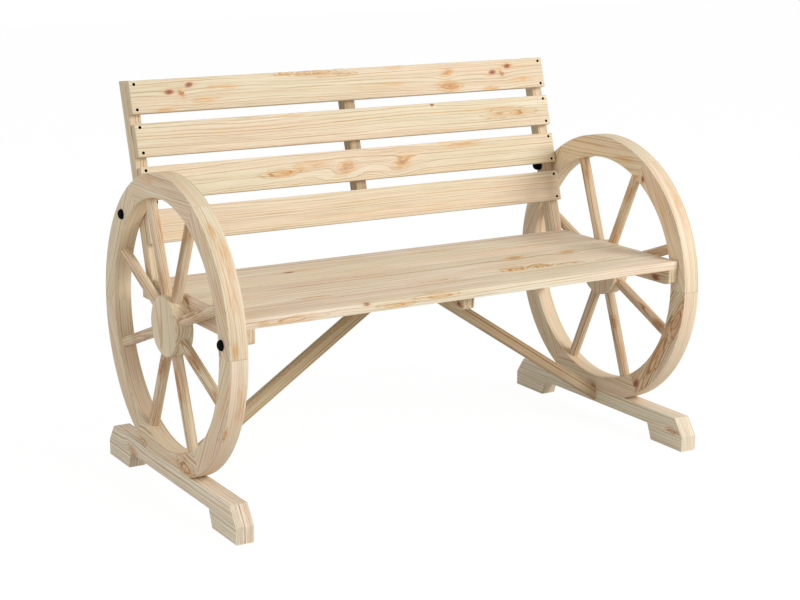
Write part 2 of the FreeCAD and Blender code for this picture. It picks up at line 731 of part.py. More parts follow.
def post_blank(word, foot):
    """A tilted post cut level at both ends, its top even with the top slat's rear edge."""
    top = on_back(SLATS_TOP, "0")[1]
    corners = ((foot, "0"), (foot, "sizes.post_depth"), (f"({top})", "sizes.post_depth"), (f"({top})", "0"))
    body = doc.addObject("PartDesign::Body", f"{word}_post_blank")
    outline = [(post_line(height, depth), height) for height, depth in corners]
    sketch = polygon(body, "YZ_Plane", outline, f"{word}_post_outline")
    padded(body, sketch, "sizes.frame_width", f"{word}_post_bar")
    eased(body, "sizes.frame_easing", f"{word}_post_easing")
    return body


def side_post(word, side):
    """A post beside a wheel, whose foot is halved where it crosses the batten."""
    body = post_blank(word, BATTEN_UNDERSIDE)
    near = f"{SEAT_REAR} - sizes.post_depth"
    far = f"{SEAT_REAR} + sizes.batten_tail"
    below = f"{BATTEN_UNDERSIDE} - sizes.cut_overrun"
    corners = [(near, below), (far, below), (far, SEAT_UNDERSIDE), (near, SEAT_UNDERSIDE)]
    sketch = polygon(body, "YZ_Plane", corners, f"{word}_halving_outline")
    cut_through(body, sketch, f"{word}_halving", reverse=side > 0)
    place(body, x=signed(side, FRAME_MIDDLE))
    drill(body, f"{word}_post", [f"{word}_post"])


def seat_board(word, front, width):
    """One board of the seat."""
    rear = f"{front} + {width}"
    corners = [(f"-{BOARD_HALF}", front), (BOARD_HALF, front), (BOARD_HALF, rear), (f"-{BOARD_HALF}", rear)]
    body = doc.addObject("PartDesign::Body", f"seat_board_{word}_blank")
    sketch = polygon(body, "XY_Plane", corners, f"seat_board_{word}_outline")
    padded(body, sketch, "sizes.seat_thickness", f"seat_board_{word}_plank", symmetric=False)
    eased(body, "sizes.board_easing", f"seat_board_{word}_easing")
    place(body, z=SEAT_UNDERSIDE)
    drill(body, f"seat_board_{word}", [f"{word}_board"])


def back_slat(index):
    """One slat of the backrest, numbered from the top."""
    name = f"back_slat_{index}"
    corners = [(f"-{BOARD_HALF}", "0"), (BOARD_HALF, "0"),
               (BOARD_HALF, "sizes.slat_width"), (f"-{BOARD_HALF}", "sizes.slat_width")]
    body = doc.addObject("PartDesign::Body", f"{name}_blank")
    sketch = polygon(body, "XZ_Plane", corners, f"{name}_outline")
    padded(body, sketch, "sizes.slat_thickness", f"{name}_plank", symmetric=False)
    eased(body, "sizes.board_easing", f"{name}_easing")
    y, z = on_back(f"sizes.slat_start + {SLAT_COUNT - index} * {SLAT_PITCH}", "0")
    place(body, y=y, z=z, turn="-sizes.back_tilt")
    drill(body, name, [f"slat_{index}"])


def brace(word, side):
    """A sloping brace from a beam's inner face up to the side of the centre batten."""
    low = signed(side, WHEEL_FACE)
    high = signed(side, "sizes.frame_width / 2")
    corners = [
        (low, "sizes.beam_height - sizes.brace_cut_height"),
        (low, "sizes.beam_height"),
        (high, SEAT_UNDERSIDE),
        (high, f"{SEAT_UNDERSIDE} - sizes.brace_cut_height"),
    ]
    body = doc.addObject("PartDesign::Body", f"{word}_brace_blank")
    sketch = polygon(body, "XZ_Plane", corners, f"{word}_brace_outline")
    padded(body, sketch, "sizes.brace_width", f"{word}_brace_bar")
    eased(body, "sizes.brace_easing", f"{word}_brace_easing", runs_across)
    place(body, y="sizes.brace_setback")
    drill(body, f"{word}_brace", [f"{word}_brace"])


for word, side in SIDES.items():
    hub(word, side)
    for index in range(1, FELLOE_COUNT + 1):
        felloe(word, side, index)
    beam(word, side)
    side_batten(word, side)
    side_post(word, side)
    brace(word, side)

centre_batten_front = f"({SEAT_FRONT} + sizes.centre_batten_setback)"
centre_batten = batten_blank("centre", centre_batten_front, f"{SEAT_REAR} - sizes.centre_batten_inset")
drill(centre_batten, "centre_batten", ["centre_batten"])

foot = on_back("sizes.slat_start + sizes.centre_post_foot", "0")[1]
drill(post_blank("centre", f"({foot})"), "centre_post", ["centre_post"])

for word, (front, width) in SEAT_BOARDS.items():
    seat_board(word, front, width)

for index in range(1, SLAT_COUNT + 1):
    back_slat(index)

for group, copies in fasteners.items():
    nodes[group] = doc.addObject("Part::Compound", group)
    nodes[group].Links = copies

doc.recompute()

for thing in doc.Objects:
    if "Invalid" in thing.State or "Error" in thing.State:
        raise RuntimeError(f"{thing.Label} failed: {thing.State}")

for name, thing in nodes.items():
    thing.Label = name
    if thing.Label != name or thing.Shape.isNull() or not thing.Shape.isValid():
        raise RuntimeError(f"{name} has no valid shape of its own")

os.makedirs("parts", exist_ok=True)
for name, thing in nodes.items():
    thing.Shape.exportStep(f"parts/{name}.step")
print(len(nodes), "parts written")
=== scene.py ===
import json
import math

import bmesh
import bpy
from mathutils import Matrix, Vector


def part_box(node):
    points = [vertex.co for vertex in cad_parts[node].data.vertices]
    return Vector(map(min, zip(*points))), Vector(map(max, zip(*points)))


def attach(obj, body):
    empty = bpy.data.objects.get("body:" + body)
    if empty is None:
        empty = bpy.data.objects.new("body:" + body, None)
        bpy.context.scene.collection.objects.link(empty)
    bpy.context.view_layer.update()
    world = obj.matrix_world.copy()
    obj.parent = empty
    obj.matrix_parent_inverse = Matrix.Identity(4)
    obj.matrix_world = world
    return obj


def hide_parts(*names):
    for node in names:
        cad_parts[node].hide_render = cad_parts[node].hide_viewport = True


# Looks of the wagon-wheel bench, in metres. X runs to the right, Y to the back and Z up.
# Wood patterns are drawn in millimetres, in each length's own directions:
# x along the grain, y across the face and z through the thickness.

MM = 0.001
SIDES = {"left": -1, "right": 1}
FELLOES = 6
SPOKES = 8
SLATS = 4

# Sizes shared with the solids, in millimetres and degrees
WHEEL_CENTRE = 350
WHEEL_MIDDLE = 531
WHEEL_RADIUS = 300
RIM_WIDTH = 48
RIM_MIDDLE = WHEEL_RADIUS - RIM_WIDTH / 2
WHEEL_THICKNESS = 38
RIM_EASING = 2
FLAT_LEVEL = 70
HUB_RADIUS = 61
HUB_EASING = 3
SPOKE_DIAMETER = 22.5
SPOKE_START = 43
SPOKE_END = 267
SPOKE_TURN = -2.5
BACK_TILT = 16.25
SLAT_WIDTH = 68
BOARD_THICKNESS = 18
BOARD_EASING = 1.5
FRAME_WIDTH = 26
POST_DEPTH = 28
BRACE_CUT_HEIGHT = 31
CAP_DIAMETER = 21

# Small forms that only this script gives, in millimetres
SEAT_EASING = 0.7
BOW = 0.2
JOINT_GAP = 0.03
JOINT_EASING = 0.12
SINK_CLEARANCE = 0.15
SINK_OVERRUN = 1
SINK_DEPTH = 0.05
CAP_LIP = 0.35
CAP_FOOT = 0.3
CAP_SHOULDER = 0.6
WELD_REACH = 0.01

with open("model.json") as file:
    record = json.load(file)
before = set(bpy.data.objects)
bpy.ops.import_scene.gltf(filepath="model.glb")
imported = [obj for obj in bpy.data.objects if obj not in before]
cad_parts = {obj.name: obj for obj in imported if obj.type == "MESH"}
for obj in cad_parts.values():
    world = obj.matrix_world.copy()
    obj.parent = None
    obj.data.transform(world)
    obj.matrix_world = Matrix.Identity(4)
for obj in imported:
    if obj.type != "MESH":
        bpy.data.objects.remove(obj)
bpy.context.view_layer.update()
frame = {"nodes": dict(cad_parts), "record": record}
node_slots = {entry["node"]: entry["material_slot"] for entry in frame["record"]["subparts"]}


def shade(text):
    """A colour written as six hexadecimal digits, as linear light."""
    parts = [int(text[start:start + 2], 16) / 255 for start in (0, 2, 4)]
    light = [part / 12.92 if part <= 0.04045 else ((part + 0.055) / 1.055) ** 2.4 for part in parts]
    return (*light, 1.0)


def tinted(text, painted_shade):
    """A colour multiplied by a second colour, its painted shade: white where there is none."""
    return tuple(part * share for part, share in zip(shade(text), shade(painted_shade)))


def set_up(thing, **settings):
    """Gives a new node, modifier, lamp or camera its settings."""
    for name, value in settings.items():
        setattr(thing, name, value)
    return thing


class Recipe:
    """A node tree as it is put together."""

    def __init__(self, tree):
        self.tree = tree

    def feed(self, socket, value):
        if isinstance(value, bpy.types.NodeSocket):
            self.tree.links.new(value, socket)
        else:
            socket.default_value = value

    def node(self, kind, inputs=None, **settings):
        made = set_up(self.tree.nodes.new(kind), **settings)
        for key, value in (inputs or {}).items():
            self.feed(made.inputs[key], value)
        return made

    def out(self, kind, inputs=None, **settings):
        """The first output of a new node."""
        return self.node(kind, inputs, **settings).outputs[0]

    def math(self, operation, *values):
        return self.out("ShaderNodeMath", dict(enumerate(values)), operation=operation)

    def times(self, first, second):
        return self.math("MULTIPLY", first, second)

    def linear(self, value, factor, start):
        """A value times a factor, on top of a start."""
        return self.math("MULTIPLY_ADD", value, factor, start)

    def vector(self, operation, *values):
        made = self.node("ShaderNodeVectorMath", dict(enumerate(values)), operation=operation)
        return made.outputs["Value" if operation in ("DOT_PRODUCT", "LENGTH") else "Vector"]

    def parts(self, vector):
        return self.node("ShaderNodeSeparateXYZ", {"Vector": vector}).outputs

    def join(self, x, y, z):
        return self.out("ShaderNodeCombineXYZ", {"X": x, "Y": y, "Z": z})

    def ramp(self, value, low, high, start=0.0, end=1.0):
        """Runs smoothly from start to end while a value runs from low to high."""
        settings = {"Value": value, "From Min": low, "From Max": high, "To Min": start, "To Max": end}
        return self.node("ShaderNodeMapRange", settings, interpolation_type="SMOOTHSTEP").outputs["Result"]

    def blend(self, factor, first, second, kind="MIX"):
        """Two colours mixed. They are inputs 6 and 7 of the mix node, and the mix is its output 2."""
        inputs = {0: factor, 6: first, 7: second}
        return self.node("ShaderNodeMix", inputs, data_type="RGBA", blend_type=kind).outputs[2]

    def noise(self, point, stretch, detail, roughness=0.5):
        """Cloudy noise whose patches are 1 / stretch long in each direction, as a value and as a vector."""
        scaled = self.vector("MULTIPLY", point, stretch)
        inputs = {"Vector": scaled, "Scale": 1.0, "Detail": detail, "Roughness": roughness}
        return self.node("ShaderNodeTexNoise", inputs).outputs

    def drift(self, point, stretch, detail, roughness=0.5):
        """Noise as a direction, to all sides of zero."""
        return self.vector("SUBTRACT", self.noise(point, stretch, detail, roughness)[1], (0.5, 0.5, 0.5))

    def line_noise(self, place):
        """Noise along a line."""
        inputs = {"W": place, "Scale": 1.0, "Detail": 0.0}
        return self.out("ShaderNodeTexNoise", inputs, noise_dimensions="1D")


def new_group(name, kind, inputs, outputs):
    """An empty node group with named inputs and outputs: its recipe, its inputs and its output node."""
    tree = bpy.data.node_groups.new(name, kind)
    for way, sockets in (("INPUT", inputs), ("OUTPUT", outputs)):
        for label, socket in sockets.items():
            tree.interface.new_socket(label, in_out=way, socket_type=f"NodeSocket{socket}")
    recipe = Recipe(tree)
    return recipe, recipe.node("NodeGroupInput").outputs, recipe.node("NodeGroupOutput").inputs


def blank_recipe(owner):
    """A recipe for the emptied node tree of a material or world."""
    owner.use_nodes = True
    owner.node_tree.nodes.clear()
    return Recipe(owner.node_tree)


# What one knot hands on to the next: the bent point, the lift of the grain, and hearts, halos and figure
MARKS = {"Point": "Vector", "Lift": "Float", "Heart": "Float", "Halo": "Float", "Figure": "Float"}


def draw_knot():
    """Bends the grain round a knot and marks its heart, halo and figure. Its weights give its shape."""
    recipe, given, result = new_group("knot", "ShaderNodeTree", {
        **MARKS, "At": "Vector", "Weights": "Vector", "Lean": "Float", "Radius": "Float", "Pull": "Float",
        "Heart strength": "Float", "Halo strength": "Float", "Figure strength": "Float",
    }, MARKS)
    point = given["Point"]

    # The wood's own unevenness, which every mark shares
    rough = recipe.noise(point, (0.12, 0.3, 0.1), 3.0, 0.6)[0]
    streak = recipe.noise(point, (0.018, 0.34, 0.34), 3.0, 0.6)[0]
    wobble = recipe.noise(point, (0.03, 0.07, 0.07), 1.0)[0]
    bent = recipe.noise(point, (0.016, 0.15, 0.15), 1.0)[0]
    broken = recipe.ramp(recipe.noise(point, (0.02, 0.2, 0.2), 1.0)[0], 0.38, 0.6, 0.3, 1.0)
    combed = recipe.ramp(recipe.noise(point, (0.028, 0.5, 0.5), 2.0, 0.6)[0], 0.38, 0.62, 0.2, 1.15)

    # How far away the knot is, counted in its own radii
    away = recipe.vector("SUBTRACT", point, given["At"])
    lean = recipe.times(recipe.parts(away)["Y"], recipe.times(given["Lean"], -1.0))
    leant = recipe.vector("ADD", away, recipe.join(lean, 0.0, 0.0))
    shaped = recipe.vector("MULTIPLY", leant, given["Weights"])
    distance = recipe.math("DIVIDE", recipe.vector("LENGTH", shaped), given["Radius"])
    turns = recipe.times(distance, recipe.linear(wobble, 0.7, 0.65))

    # The grain makes way for it
    near = recipe.math("POWER", recipe.linear(recipe.math("POWER", turns, 2.0), 0.16, 1.0), -1.6)
    pulled = recipe.times(near, given["Pull"])
    lift = recipe.times(recipe.times(pulled, given["Radius"]), 1.1)
    squeeze = recipe.times(pulled, -0.8)
    shift = recipe.vector("MULTIPLY", recipe.vector("MULTIPLY", away, given["Weights"]),
                          recipe.join(0.0, squeeze, squeeze))

    # Heart: torn at its edge, mottled, faintly ringed and deepest in its middle
    torn = recipe.linear(rough, 0.7, recipe.linear(streak, 0.9, 0.25))
    ragged = recipe.times(turns, torn)
    rings = recipe.math("SINE", recipe.times(turns, recipe.times(given["Radius"], 2.4)))
    mottled = recipe.linear(rough, 0.7, recipe.linear(rings, 0.08, 0.45))
    core = recipe.ramp(ragged, 0.15, 0.55, 1.7, 1.0)
    filled = recipe.times(recipe.ramp(ragged, 0.6, 1.15, 1.0, 0.0), core)
    heart = recipe.times(recipe.times(filled, given["Heart strength"]), mottled)

    # Halo: pitch that is combed out along the grain
    smeared = recipe.times(turns, recipe.linear(streak, 1.6, 0.2))
    halo = recipe.times(recipe.ramp(smeared, 0.5, 2.3, 1.0, 0.0), given["Halo strength"])
    halo = recipe.times(halo, combed)

    # Figure: broken lines that flow round the knot
    flowing = recipe.times(turns, recipe.linear(bent, 1.2, 0.4))
    ringed = recipe.math("FRACT", recipe.times(flowing, 1.15))
    line = recipe.math("ABSOLUTE", recipe.math("SUBTRACT", ringed, 0.5))
    figure = recipe.times(recipe.ramp(line, 0.25, 0.44), recipe.ramp(flowing, 1.2, 2.3, 1.0, 0.0))
    figure = recipe.times(recipe.times(figure, broken), given["Figure strength"])

    recipe.feed(result["Point"], recipe.vector("ADD", point, shift))
    recipe.feed(result["Lift"], recipe.math("ADD", given["Lift"], lift))
    for label, mark in (("Heart", heart), ("Halo", halo), ("Figure", figure)):
        recipe.feed(result[label], recipe.math("MAXIMUM", given[label], mark))
    return recipe.tree


def late_wood(recipe, given, seeded):
    """The dark lines of the growth rings round a wandering pith, and how warm each ring is."""
    wander = recipe.drift(seeded, (0.0019, 0.008, 0.008), 1.0)
    ripple = recipe.drift(seeded, (0.012, 0.06, 0.06), 3.0, 0.6)
    swayed = recipe.vector("ADD", recipe.vector("MULTIPLY", wander, (0.0, 18.0, 18.0)),
                           recipe.vector("MULTIPLY", ripple, (0.0, 2.2, 2.2)))
    moved = recipe.vector("ADD", recipe.vector("SUBTRACT", given["Point"], given["Pith"]), swayed)
    from_pith = recipe.vector("LENGTH", recipe.vector("MULTIPLY", moved, (0.0, 1.0, 1.0)))

    # Ends and treads show straight lines through the thickness, as if their pith were far away
    sawn = recipe.parts(recipe.vector("ADD", given["Point"], swayed))["Z"]
    other_face = recipe.math("SUBTRACT", recipe.math("ADD", sawn, 200.0), from_pith)
    from_pith = recipe.linear(given["Cut"], other_face, from_pith)

    # The rings differ in width, strength and warmth from year to year
    radius = recipe.math("ADD", from_pith, given["Lift"])
    seasons = recipe.line_noise(recipe.linear(radius, 0.09, recipe.parts(given["Seed"])["X"]))
    years = recipe.math("DIVIDE", recipe.linear(seasons, 9.0, radius), given["Ring"])
    phase = recipe.math("FRACT", years)
    late = recipe.times(recipe.ramp(phase, 0.52, 0.88), recipe.ramp(phase, 0.93, 1.0, 1.0, 0.0))
    strength = recipe.ramp(recipe.line_noise(recipe.linear(years, 0.53, 7.3)), 0.3, 0.66, 0.4, 1.0)
    warmth = recipe.ramp(recipe.line_noise(recipe.linear(years, 0.21, 3.1)), 0.42, 0.7, 0.0, 0.5)
    return recipe.times(late, strength), warmth


def draw_timber():
    """Planed fir or pine: growth rings round a wandering pith, with fibres, flecks, blushes and knots."""
    recipe, given, result = new_group("timber", "ShaderNodeTree", {
        **MARKS, "Board": "Vector", "Seed": "Vector", "Pith": "Vector", "Ring": "Float", "Pale": "Color",
        "Grain": "Color", "Blush": "Color", "Knot": "Color", "Contrast": "Float", "Pallor": "Float",
        "End": "Float", "Cut": "Float", "Wear and highlight": "Float",
    }, {"Colour": "Color", "Height": "Float", "Roughness": "Float"})

    # The grain on ends of lengths and treads of rims is drawn out sideways
    drawn = recipe.join(1.0, recipe.linear(given["Cut"], -0.93, 1.0), 1.0)
    seeded = recipe.vector("MULTIPLY_ADD", given["Point"], drawn, given["Seed"])
    board = recipe.vector("MULTIPLY_ADD", given["Board"], drawn, given["Seed"])
    late, warmth = late_wood(recipe, given, seeded)

    # Patterns along the grain, from single fibres to patches and seasons
    fibre = recipe.noise(board, (0.03, 1.0, 1.0), 2.0, 0.6)[0]
    strand = recipe.noise(seeded, (0.006, 0.3, 0.3), 3.0, 0.65)[0]
    thread = recipe.ramp(recipe.noise(seeded, (0.0045, 0.5, 0.5), 2.0, 0.55)[0], 0.54, 0.68)
    cloud = recipe.noise(seeded, (0.0026, 0.021, 0.021), 2.0)[0]
    patch = recipe.ramp(recipe.noise(seeded, (0.0045, 0.045, 0.045), 2.0)[0], 0.6, 0.82)
    pallor = recipe.ramp(recipe.noise(board, (0.0032, 0.05, 0.05), 3.0, 0.55)[0], 0.52, 0.74)
    season = recipe.ramp(recipe.noise(board, (0.0021, 0.014, 0.014), 1.0)[0], 0.35, 0.65)
    fleck = recipe.ramp(recipe.noise(board, (0.05, 0.9, 0.9), 1.0)[0], 0.7, 0.8)

    # Clear wood: the grain's depth of colour, white streaks and a slow change of tinge
    lines = recipe.times(late, recipe.linear(strand, 1.1, 0.35))
    lines = recipe.linear(thread, 0.34, lines)
    lines = recipe.math("MINIMUM", lines, recipe.linear(given["End"], -1.3, 2.0))
    depth = recipe.linear(recipe.times(lines, given["Contrast"]), 0.95, 0.16)
    for pattern, weight in ((strand, 0.66), (fibre, 0.42), (cloud, 0.4)):
        depth = recipe.math("ADD", depth, recipe.linear(pattern, weight, -weight / 2))
    dark = recipe.blend(warmth, given["Grain"], given["Blush"])
    colour = recipe.blend(recipe.ramp(depth, -0.12, 1.15), given["Pale"], dark)
    colour = recipe.blend(recipe.times(pallor, given["Pallor"]), colour, shade("F8F0E0"))
    tinge = recipe.blend(season, shade("FFF9F4"), shade("FCFCF4"))
    colour = recipe.blend(1.0, colour, tinge, "MULTIPLY")

    # Pitch, figure and hearts of knots, then flecks, end grain and edges lightened by wear and a painted
    # highlight
    uneven = recipe.linear(strand, 0.9, 0.2)
    glow = recipe.linear(patch, recipe.times(strand, 0.45), recipe.times(given["Halo"], uneven))
    colour = recipe.blend(recipe.math("MINIMUM", glow, 0.85), colour, given["Blush"])
    figured = recipe.times(given["Figure"], recipe.linear(strand, 0.9, 0.35))
    ink = recipe.blend(0.6, given["Blush"], shade("7E4C22"))
    colour = recipe.blend(recipe.math("MINIMUM", figured, 0.9), colour, ink)
    colour = recipe.blend(recipe.math("MINIMUM", given["Heart"], 0.9), colour, given["Knot"])
    colour = recipe.blend(recipe.ramp(given["Heart"], 1.0, 1.7, 0.0, 0.75), colour, shade("5A2C22"))
    colour = recipe.blend(recipe.times(fleck, 0.14), colour, given["Grain"], "MULTIPLY")
    ended = recipe.times(given["End"], recipe.linear(late, 0.32, 0.07))
    colour = recipe.blend(ended, colour, shade("CDB48E"), "MULTIPLY")
    # Edges lightened towards the pale colour: partly rubbed wear, partly a painted highlight on the eased
    # edges
    colour = recipe.blend(recipe.times(given["Wear and highlight"], 0.35), colour, given["Pale"])

    # Relief, which is sanded away on the ends, and gloss
    relief = recipe.linear(late, 0.6, recipe.times(fibre, 0.5))
    relief = recipe.linear(given["Heart"], 0.5, relief)
    relief = recipe.linear(fleck, -0.5, relief)
    relief = recipe.times(relief, recipe.linear(given["End"], -0.8, 1.0))
    gloss = recipe.linear(fibre, 0.16, 0.54)
    gloss = recipe.linear(late, -0.08, gloss)
    gloss = recipe.linear(given["End"], 0.16, gloss)
    recipe.feed(result["Colour"], colour)
    recipe.feed(result["Height"], relief)
    recipe.feed(result["Roughness"], recipe.linear(given["Wear and highlight"], 0.08, gloss))
    return recipe.tree


def draw_arris():
    """How near a point lies to an edge of its length, broken up as handling wears it: 1 on the edge. The
    edges it marks are lightened, partly as wear and partly as a painted highlight.
    """
    recipe, given, result = new_group("arris", "ShaderNodeTree", {
        "Point": "Vector", "Half": "Vector", "Seed": "Vector"}, {"Wear and highlight": "Float"})
    inside = recipe.parts(recipe.vector("SUBTRACT", recipe.vector("ABSOLUTE", given["Point"]), given["Half"]))
    low = recipe.math("MINIMUM", inside["X"], inside["Y"])
    high = recipe.math("MAXIMUM", inside["X"], inside["Y"])
    middle = recipe.math("MAXIMUM", low, recipe.math("MINIMUM", high, inside["Z"]))
    seeded = recipe.vector("ADD", given["Point"], given["Seed"])
    broken = recipe.noise(seeded, (0.05, 0.3, 0.3), 3.0, 0.6)[0]
    recipe.feed(result["Wear and highlight"], recipe.ramp(middle, recipe.linear(broken, -7.0, 0.8), -0.2))
    return recipe.tree


KNOT = draw_knot()
TIMBER = draw_timber()
ARRIS = draw_arris()

# Pale, grain, blush and knot colours of each kind of length, with how streaked by white it is
TIMBERS = {
    "back_wood": ("EEE2CB", "C2A47C", "DBA052", "9C4732", 0.35),
    "seat_wood": ("F3E8D4", "C4A57F", "DCA75A", "8F422C", 0.9),
    "rim_wood": ("F0E1C7", "BC9A72", "D8A267", "8A452C", 0.45),
    "spoke_wood": ("E8D8BE", "AE8D66", "C08E5C", "90523A", 0.35),
    "hub_wood": ("F0E2C8", "B99B73", "CFA06C", "90523A", 0.4),
    "base_wood": ("F9F0DF", "B39A75", "CFA06C", "935030", 0.35),
    "frame_wood": ("EBDCC0", "AA8860", "BE9060", "8A4830", 0.25),
    "dowel_wood": ("DDC091", "B98F5A", "C8924F", "8F5A34", 0.1),
}

# Knots by how they look: heart, halo, figure, pull on the grain and lean
KNOT_KINDS = {
    "red": (0.9, 0.8, 0.0, 0.4, 0.3),
    "rust": (0.5, 1.4, 0.3, 0.3, -0.5),
    "smear": (0.22, 1.5, 0.5, 0.3, -0.5),
    "orange": (0.24, 1.6, 0.3, 1.0, 0.7),
    "amber": (0.0, 1.3, 2.2, 0.8, 0.2),
    "honey": (0.0, 1.9, 2.2, 0.8, 0.2),
    "streak": (0.0, 1.2, 0.9, 0.5, 0.6),
    "faint": (0.0, 1.0, 0.0, 0.3, 0.6),
    "pin": (0.95, 0.2, 0.0, 0.4, 0.0),
    "blush": (0.0, 0.8, 0.0, 0.25, 0.0),
}

# How far apart in the log the lengths are cut, and how strongly the grain shows on the rims' treads
LOG_STEPS = (613.7, 271.3, 97.1)
TREAD_CONTRAST = 0.6

# Shank diameters of the wood screws
SHANKS = {
    "slat_screws": 3.5, "frame_screws": 4.5, "base_screws": 5.0, "lap_screws": 3.5, "centre_post_screws": 4.0,
}

# Knots of each length, placed on the photograph's: along, across and, for those on an edge, through it,
# then radius, stretch and kind
KNOTS = {
    "back_slat_1": [
        (-425, 6, 6, 1.9, "red"), (-379, 18, 5.5, 1.8, "red"), (-399, 3, 7, 0.8, "rust"),
        (-394, 4, 1.6, 1.3, "pin"), (-348, -14, 4, 5, "faint"), (-437, -29, 4, 4, "faint"),
        (-310, 10, 5, 6, "blush"), (-153, 31, 4, 4, "streak"), (-112, 29, 4, 4.5, "streak"),
        (-68, 30, 4.5, 5, "streak"), (-11, 23, 3, 7, "streak"), (111, 31, 3, 5, "faint"),
        (102, -6, 4, 6, "blush"), (370, 6, 6, 1.9, "red"), (412, 18, 5.5, 1.8, "red"),
        (394, 3, 7, 0.8, "rust"), (399, 4, 1.6, 1.3, "pin"), (443, -13, 4, 5, "faint"),
        (248, 12, 5, 1.8, "orange"), (251, -18, 8, 2.6, "smear"), (360, -28, 4, 4, "faint"),
    ],
    "back_slat_2": [
        (197, 29, 4, 1.5, "pin"), (405, -1, 6, 6, "streak"), (375, 9, 3, 10, "faint"),
        (-149, 30, 5, 4, "blush"),
    ],
    "back_slat_3": [
        (101, -2, 11, 1.3, "orange"), (-42, -5, 10, 1.4, "orange"), (-196, -4, 6, 4, "streak"),
        (-130, 6, 6, 5, "faint"), (256, 27, 6, 7, "faint"),
    ],
    "seat_board_front": [
        (-410, -48, -2, 4, 8, "streak"), (-250, -48, 8, 3.5, 2.4, "red"), (-186, -48, -1, 4, 6, "streak"),
        (-86, -48, 5, 3, 9, "streak"),
    ],
    "seat_board_middle": [
        (167, -64, 16, 1.2, "honey"), (231, -68, 13, 1.2, "honey"), (290, -70, 7, 4, "amber"),
        (365, 28, 11, 1.5, "orange"), (229, 31, 11, 1.5, "orange"), (-142, 46, 6, 7, "blush"),
        (-312, -71, 3, 9, "amber"), (-30, -68, 4, 8, "streak"),
    ],
    "seat_board_rear": [
        (-251, -4, 6, 3, "pin"), (-220, 4, 8, 5, "blush"), (120, 30, 6, 8, "blush"),
        (300, -30, 6, 8, "blush"),
    ],
    "right_felloe_4": [(-130, -29, 10, 1.3, "red"), (81, -5, 9, 3.2, "amber"), (-30, -10, 7, 8, "amber")],
    "right_felloe_5": [(40, -4, 5, 5, "blush"), (119, -37, 6, 1.6, "red"), (32, 24, 4, 5, 8, "faint")],
    "right_spoke_5": [(-24, -9, 5, 2, "smear"), (40, -6, 4, 6, "faint")],
    "right_spoke_6": [(67, -9, 4.5, 3, "smear")],
    "right_spoke_8": [(-60, -6, 5, 5, "faint"), (50, -9, 4, 4, "faint")],
    "right_spoke_1": [(70, -8, 5, 4, "faint")],
    "left_spoke_1": [(-70, -8, 6, 4, "faint"), (40, 6, 5, 5, "faint")],
    "left_spoke_3": [(20, -8, 5, 4, "faint")],
    "left_spoke_4": [(-60, -9, 6, 3, "smear"), (60, -9, 6, 4, "faint")],
    "left_spoke_5": [(-40, -8, 6, 5, "faint")],
    "left_spoke_6": [(-30, -8, 5, 4, "smear"), (80, -8, 5, 4, "faint")],
    "left_spoke_7": [(0, -9, 5, 5, "faint")],
    "left_spoke_8": [(-50, -9, 6, 4, "faint"), (70, -9, 5, 4, "faint")],
    "right_felloe_6": [(-90, -18, 6, 4, "blush")],
    "left_felloe_3": [(89, -12, 10, 2.2, "amber"), (-122, -9, 5, 2.2, "amber")],
    "left_felloe_5": [
        (-40, 4, 6, 5, "blush"), (70, 2, 4, 5, "faint"), (93, 24, -3, 5, 4, "faint"),
        (53, 24, 4, 6, 4, "faint"), (12, 24, 4, 6, 4, "faint"), (-46, 24, 0, 5, 6, "faint"),
        (-140, 24, -8, 4, 3, "faint"),
    ],
    "left_felloe_4": [(60, 4, 5, 6, "blush"), (-3, 24, -13, 4, 2.4, "streak"), (60, 24, 6, 5, 6, "faint")],
    "left_felloe_6": [(60, 6, 6, 4, "faint"), (20, 24, 3, 5, 5, "faint")],
    "right_batten": [(-190, -6, 8, 1.8, "red")],
    "centre_batten": [(-170, -4, 6, 1.5, "red")],
    "right_beam": [(-276, 4, 4, 3, "amber")],
    "left_beam": [(180, 8, 7, 2, "orange"), (-60, -8, 6, 6, "blush")],
}


def cover(recipe, height, strength, deepest, look):
    """Closes the recipe of a finish: its relief, so many millimetres deep, and its look to the light."""
    relief = recipe.out("ShaderNodeBump", {"Height": height, "Strength": strength, "Distance": deepest * MM})
    shader = recipe.out("ShaderNodeBsdfPrincipled", {**look, "Normal": relief})
    recipe.node("ShaderNodeOutputMaterial", {"Surface": shader})


def round_the_rim(recipe, spot, grain, across):
    """How far round its wheel a point of a felloe lies, and how far outside the rim's middle line."""
    forward = recipe.vector("DOT_PRODUCT", spot, tuple(grain))
    upward = recipe.vector("DOT_PRODUCT", spot, tuple(across))
    reach = recipe.vector("LENGTH", recipe.join(forward, upward, 0.0))
    run = recipe.times(recipe.math("ARCTAN2", forward, upward), WHEEL_RADIUS)
    return run, recipe.linear(reach, 1 / MM, RIM_WIDTH / 2 - WHEEL_RADIUS)


def add_knots(recipe, name, point):
    """The marks of all the knots of a length, each laid over those before it."""
    marks = {**dict.fromkeys(MARKS, 0.0), "Point": point}
    for *place, radius, stretch, kind in KNOTS.get(name, ()):
        heart, halo, figure, pull, lean = KNOT_KINDS[kind]
        weights = (1 / stretch, 0.25, 1.0) if len(place) == 3 else (1 / stretch, 1.0, 0.0)
        knot = recipe.node("ShaderNodeGroup", {
            **marks, "At": (*place, 0.0)[:3], "Weights": weights, "Lean": lean, "Radius": radius,
            "Heart strength": heart, "Halo strength": halo, "Figure strength": figure, "Pull": pull,
        }, node_tree=KNOT)
        marks = {label: knot.outputs[label] for label in marks}
    return marks


